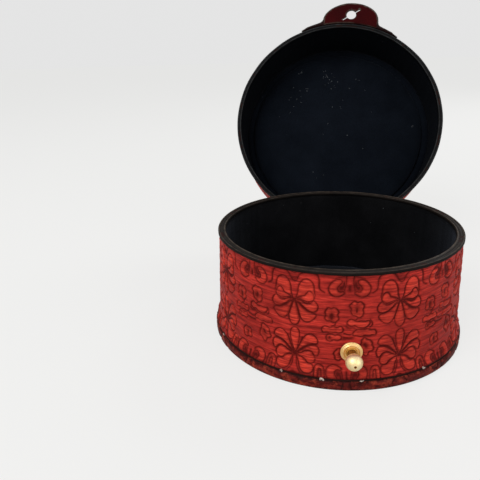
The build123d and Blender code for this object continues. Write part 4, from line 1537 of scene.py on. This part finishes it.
def grow(name, tree, points, outward, edges, values):
    # runs a tree on a mesh of points or lines and keeps the result as a plain mesh
    mesh = bpy.data.meshes.new(name + "Lines")
    mesh.from_pydata((np.asarray(points) * mm).tolist(), edges, [])
    layer = mesh.attributes.new("outward", "FLOAT_VECTOR", "POINT")
    layer.data.foreach_set("vector", np.asarray(outward, np.float32).ravel())
    holder = bpy.data.objects.new(name + "Lines", mesh)
    bpy.context.scene.collection.objects.link(holder)
    modifier = holder.modifiers.new("grow", "NODES")
    modifier.node_group = tree
    for item in tree.interface.items_tree:
        if item.in_out == "INPUT" and item.name in values:
            modifier[item.identifier] = values[item.name]
    holder.update_tag()
    graph = bpy.context.evaluated_depsgraph_get()
    made = bpy.data.meshes.new_from_object(holder.evaluated_get(graph), depsgraph=graph)
    bpy.data.objects.remove(holder)
    made.name = name
    made.polygons.foreach_set("use_smooth", [True] * len(made.polygons))
    piece = bpy.data.objects.new(name, made)
    bpy.context.scene.collection.objects.link(piece)
    return piece


stitchLook = {
    "spacing": 0.0030,
    "length": 0.0022,
    "thickness": 0.00062,
    "slant": 0.14,
    "inset": 1.05,            # from the strap's edge
    "corner": 2.2,
    "step": 0.5,              # between the points of a seam's line
    "proud": 0.06,
}


def runs(paths, facings):
    points = np.vstack(paths)
    edges, start = [], 0
    for path in paths:
        edges += [(i, i + 1) for i in range(start, start + len(path) - 1)]
        start += len(path)
    return points, np.vstack(facings), edges


def sew(name, place, outlines, off, body):
    paths, facings = [], []
    for outline in outlines:
        across, along = outline[:, 0], outline[:, 1]
        paths.append(place(across, along, off))
        facings.append(place(across, along, off + 1.0) - place(across, along, off))
    points, outward, edges = runs(paths, facings)
    piece = grow(name, stitches, points, outward, edges, {
        "Spacing": stitchLook["spacing"], "Length": stitchLook["length"],
        "Thickness": stitchLook["thickness"], "Slant": stitchLook["slant"], "Thread": waxedThread})
    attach(piece, body)
    return piece


stitches = stitchTree()
lumps = scatterTree()
side = strapHalf - stitchLook["inset"]


def leafSeams(root, far):
    # round three sides of a leaf and straight across at its root
    cut, step = stitchLook["corner"], stitchLook["step"]
    turn = far + math.copysign(cut, root - far)
    box = [(-side, root), (-side, turn), (-side + cut, far), (side - cut, far), (side, turn), (side, root)]
    return [smoothLine(box, step=step), spaced(np.array([(-side, root), (side, root)]), step)]


strapFace = strapLook["thick"] + stitchLook["proud"]
sew("strapBodyStitches", strapOnBody, leafSeams(strapLook["top"] - 2.6, strapLook["foot"] + 1.3), strapFace,
    "body")
lidLeaf = strapLook["lidStart"] + 3.4, strapLook["lidStart"] + strapLook["lidLength"] - 1.3
sew("strapLidStitches", strapOnLid, leafSeams(*lidLeaf), strapFace, "lid")
collarLine = np.array([(x, -collarHeight(x) + flapLook["stitchInset"]) for x in np.linspace(-29, 29, 120)])
sew("collarStitches", lambda across, along, off: openLid(flapPoint(across, along, off)),
    [collarLine[collarLine[:, 1] < -0.6]], flapLook["thick"] * 0.85, "lid")
print("stitches sewn")

beadLook = {
    # degrees round the wall from the front, height: where glue squeezed out of the groove
    "places": [(-5.5, 5.6), (-22.0, 5.7), (11.0, 5.6), (38.0, 5.7), (-61.0, 5.6), (83.0, 5.7), (140.0, 5.6),
               (-118.0, 5.7)],
    "size": 0.00095,
}
rng = np.random.RandomState(5)
spots, ways = [], []
for degrees, height in beadLook["places"]:
    for k in range(rng.randint(1, 4)):
        turn = math.radians(degrees + rng.normal() * 0.5)
        way = np.array([math.sin(turn), -math.cos(turn), 0.0])
        spots.append(way * (bandSize["outer"] - 0.75) + (0, 0, height + rng.normal() * 0.15))
        ways.append(way)
beads = grow("grooveGlue", lumps, spots, ways, [], {
    "Size": beadLook["size"], "Flatness": 0.5, "Stretch": 1.9, "Seed": 4, "Stuff": driedGlue})
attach(beads, "body")

lintLook = {
    # centre across and up on the lid's pad, spread, count
    "clusters": [(-28.5, 51.0, 1.8, 8), (-8.6, 47, 3.2, 13), (-3, 41.5, 2.4, 7), (-23, 36.5, 0.8, 3),
                 (-38, 18, 1.0, 2), (3.6, 21.6, 1.0, 2), (16.6, 43, 1.2, 3), (-30, 30, 6.0, 8),
                 (0, 20, 22.0, 14), (58, 5.8, 0.8, 2)],
    "size": 0.00030,
}
padFace = np.array([v.co for v in lidCushion.data.vertices]) / mm
closedPad = swing(padFace, -openAngle)
spots, ways = [], []
for x, up, spread, count in lintLook["clusters"]:
    for k in range(count):
        at = np.array([x + rng.normal() * spread, -(up + rng.normal() * spread)])
        if np.hypot(*at) > 60:
            continue
        near = np.argsort(np.hypot(closedPad[:, 0] - at[0], closedPad[:, 1] - at[1]))[:6]
        z = closedPad[near, 2].min()
        spots.append((at[0], at[1], z - 0.06))
        ways.append((0, 0, -1.0))
spots = openLid(np.array(spots))
ways = openLid(np.array([(0, 0, -1.0)])) - openLid(np.array([(0, 0, 0.0)]))
lint = grow("lidLint", lumps, spots, np.repeat(ways, len(spots), axis=0), [], {
    "Size": lintLook["size"], "Flatness": 0.5, "Stretch": 2.2, "Seed": 9, "Stuff": paleLint})
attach(lint, "lid")
print("glue and lint scattered")


# Boards, sole, washer and screw keep their frame shapes

for nodeName, material in (
        ("base_board", shadedDarkBoard), ("body_shell", shadedDarkBoard), ("lid_tube", shadedDarkBoard),
        ("lid_board", shadedDarkBoard), ("base_sole", soleLeather), ("stud_washer", brass),
        ("stud_screw", brass)):
    for slot in frame["nodes"][nodeName].material_slots:
        slot.material = material


# Camera, floor and light

view = {
    "place": (-7.0, -276.0, 156.0),
    "pitch": 21.0,
    "yaw": -9.9,
    "roll": -2.0,
    "focal": 515.0,          # pixels, for a frame of 480
    "frame": 480.0,
    "sensor": 36.0,
}


def setCamera():
    pitch, yaw, roll = (math.radians(view[k]) for k in ("pitch", "yaw", "roll"))
    ahead = Vector((math.sin(yaw) * math.cos(pitch), math.cos(yaw) * math.cos(pitch), -math.sin(pitch)))
    right = Vector((math.cos(yaw), -math.sin(yaw), 0))
    up = right.cross(ahead)
    x = math.cos(roll) * right + math.sin(roll) * up
    y = -math.sin(roll) * right + math.cos(roll) * up
    data = bpy.data.cameras.new("camera")
    data.sensor_width = view["sensor"]
    data.lens = view["focal"] / view["frame"] * view["sensor"]
    data.clip_start = 0.01
    camera = bpy.data.objects.new("camera", data)
    camera.matrix_world = Matrix((
        (x[0], y[0], -ahead[0], view["place"][0] * mm), (x[1], y[1], -ahead[1], view["place"][1] * mm),
        (x[2], y[2], -ahead[2], view["place"][2] * mm), (0, 0, 0, 1)))
    bpy.context.scene.collection.objects.link(camera)
    bpy.context.scene.camera = camera


floorLook = {
    "reach": 4000.0,
    "drop": 0.03,            # under the sole, so that the two faces don't fight
    "glow": 0.76,            # share of its own light that the camera sees
}


def addFloor():
    # pale ground that keeps a soft shadow; its colour to the camera doesn't light the case
    reach = floorLook["reach"]
    material = bpy.data.materials.new("paleFloor")
    material.use_nodes = True
    tree = material.node_tree
    tree.nodes.clear()
    matte = node(tree, "ShaderNodeBsdfDiffuse", {"Color": (0.62, 0.62, 0.61, 1)})
    glow = node(tree, "ShaderNodeEmission", {"Color": (0.95, 0.95, 0.94, 1), "Strength": 1.0})
    seen = node(tree, "ShaderNodeLightPath")
    share = node(tree, "ShaderNodeMath", {0: seen.outputs["Is Camera Ray"], 1: floorLook["glow"]},
                 operation="MULTIPLY")
    both = node(tree, "ShaderNodeMixShader", {0: share.outputs[0], 1: matte.outputs[0], 2: glow.outputs[0]})
    output = node(tree, "ShaderNodeOutputMaterial")
    tree.links.new(both.outputs[0], output.inputs[0])
    corners = [(x * reach, y * reach, -floorLook["drop"]) for x, y in ((-1, -1), (1, -1), (1, 1), (-1, 1))]
    makePiece("floor", corners, [(0, 1, 2, 3)], material)


lamps = [
    # name, place (m), aimed at (m), size (m), power (W)
    ("key", (-0.55, -0.75, 0.85), (0, 0, 0.05), 0.7, 9.0),
    ("fill", (0.75, -0.65, 0.45), (0, 0, 0.06), 0.9, 3.2),
    ("back", (0.65, 0.75, 0.75), (0, 0.03, 0.06), 0.6, 5.0),
]


def addLight():
    for name, place, aim, size, power in lamps:
        data = bpy.data.lights.new(name, "AREA")
        data.size = size
        data.energy = power
        lamp = bpy.data.objects.new(name, data)
        lamp.location = place
        lamp.rotation_euler = (Vector(aim) - Vector(place)).to_track_quat("-Z", "Y").to_euler()
        bpy.context.scene.collection.objects.link(lamp)
    world = bpy.data.worlds.new("studio")
    world.use_nodes = True
    tree = world.node_tree
    tree.nodes.clear()
    seen = node(tree, "ShaderNodeLightPath")
    direct = seen.outputs["Is Camera Ray"]
    for kind in ("Is Glossy Ray", "Is Transmission Ray"):
        either = node(tree, "ShaderNodeMath", {0: direct, 1: seen.outputs[kind]}, operation="MAXIMUM")
        direct = either.outputs[0]
    strength = node(tree, "ShaderNodeMapRange", {"Value": direct, "To Min": 0.40, "To Max": 0.78})
    back = node(tree, "ShaderNodeBackground", {"Color": (1, 1, 1, 1), "Strength": strength.outputs["Result"]})
    output = node(tree, "ShaderNodeOutputWorld")
    tree.links.new(back.outputs[0], output.inputs[0])
    bpy.context.scene.world = world


setCamera()
addFloor()
addLight()
bpy.context.scene.view_settings.view_transform = "Standard"
print("camera, floor and light set")
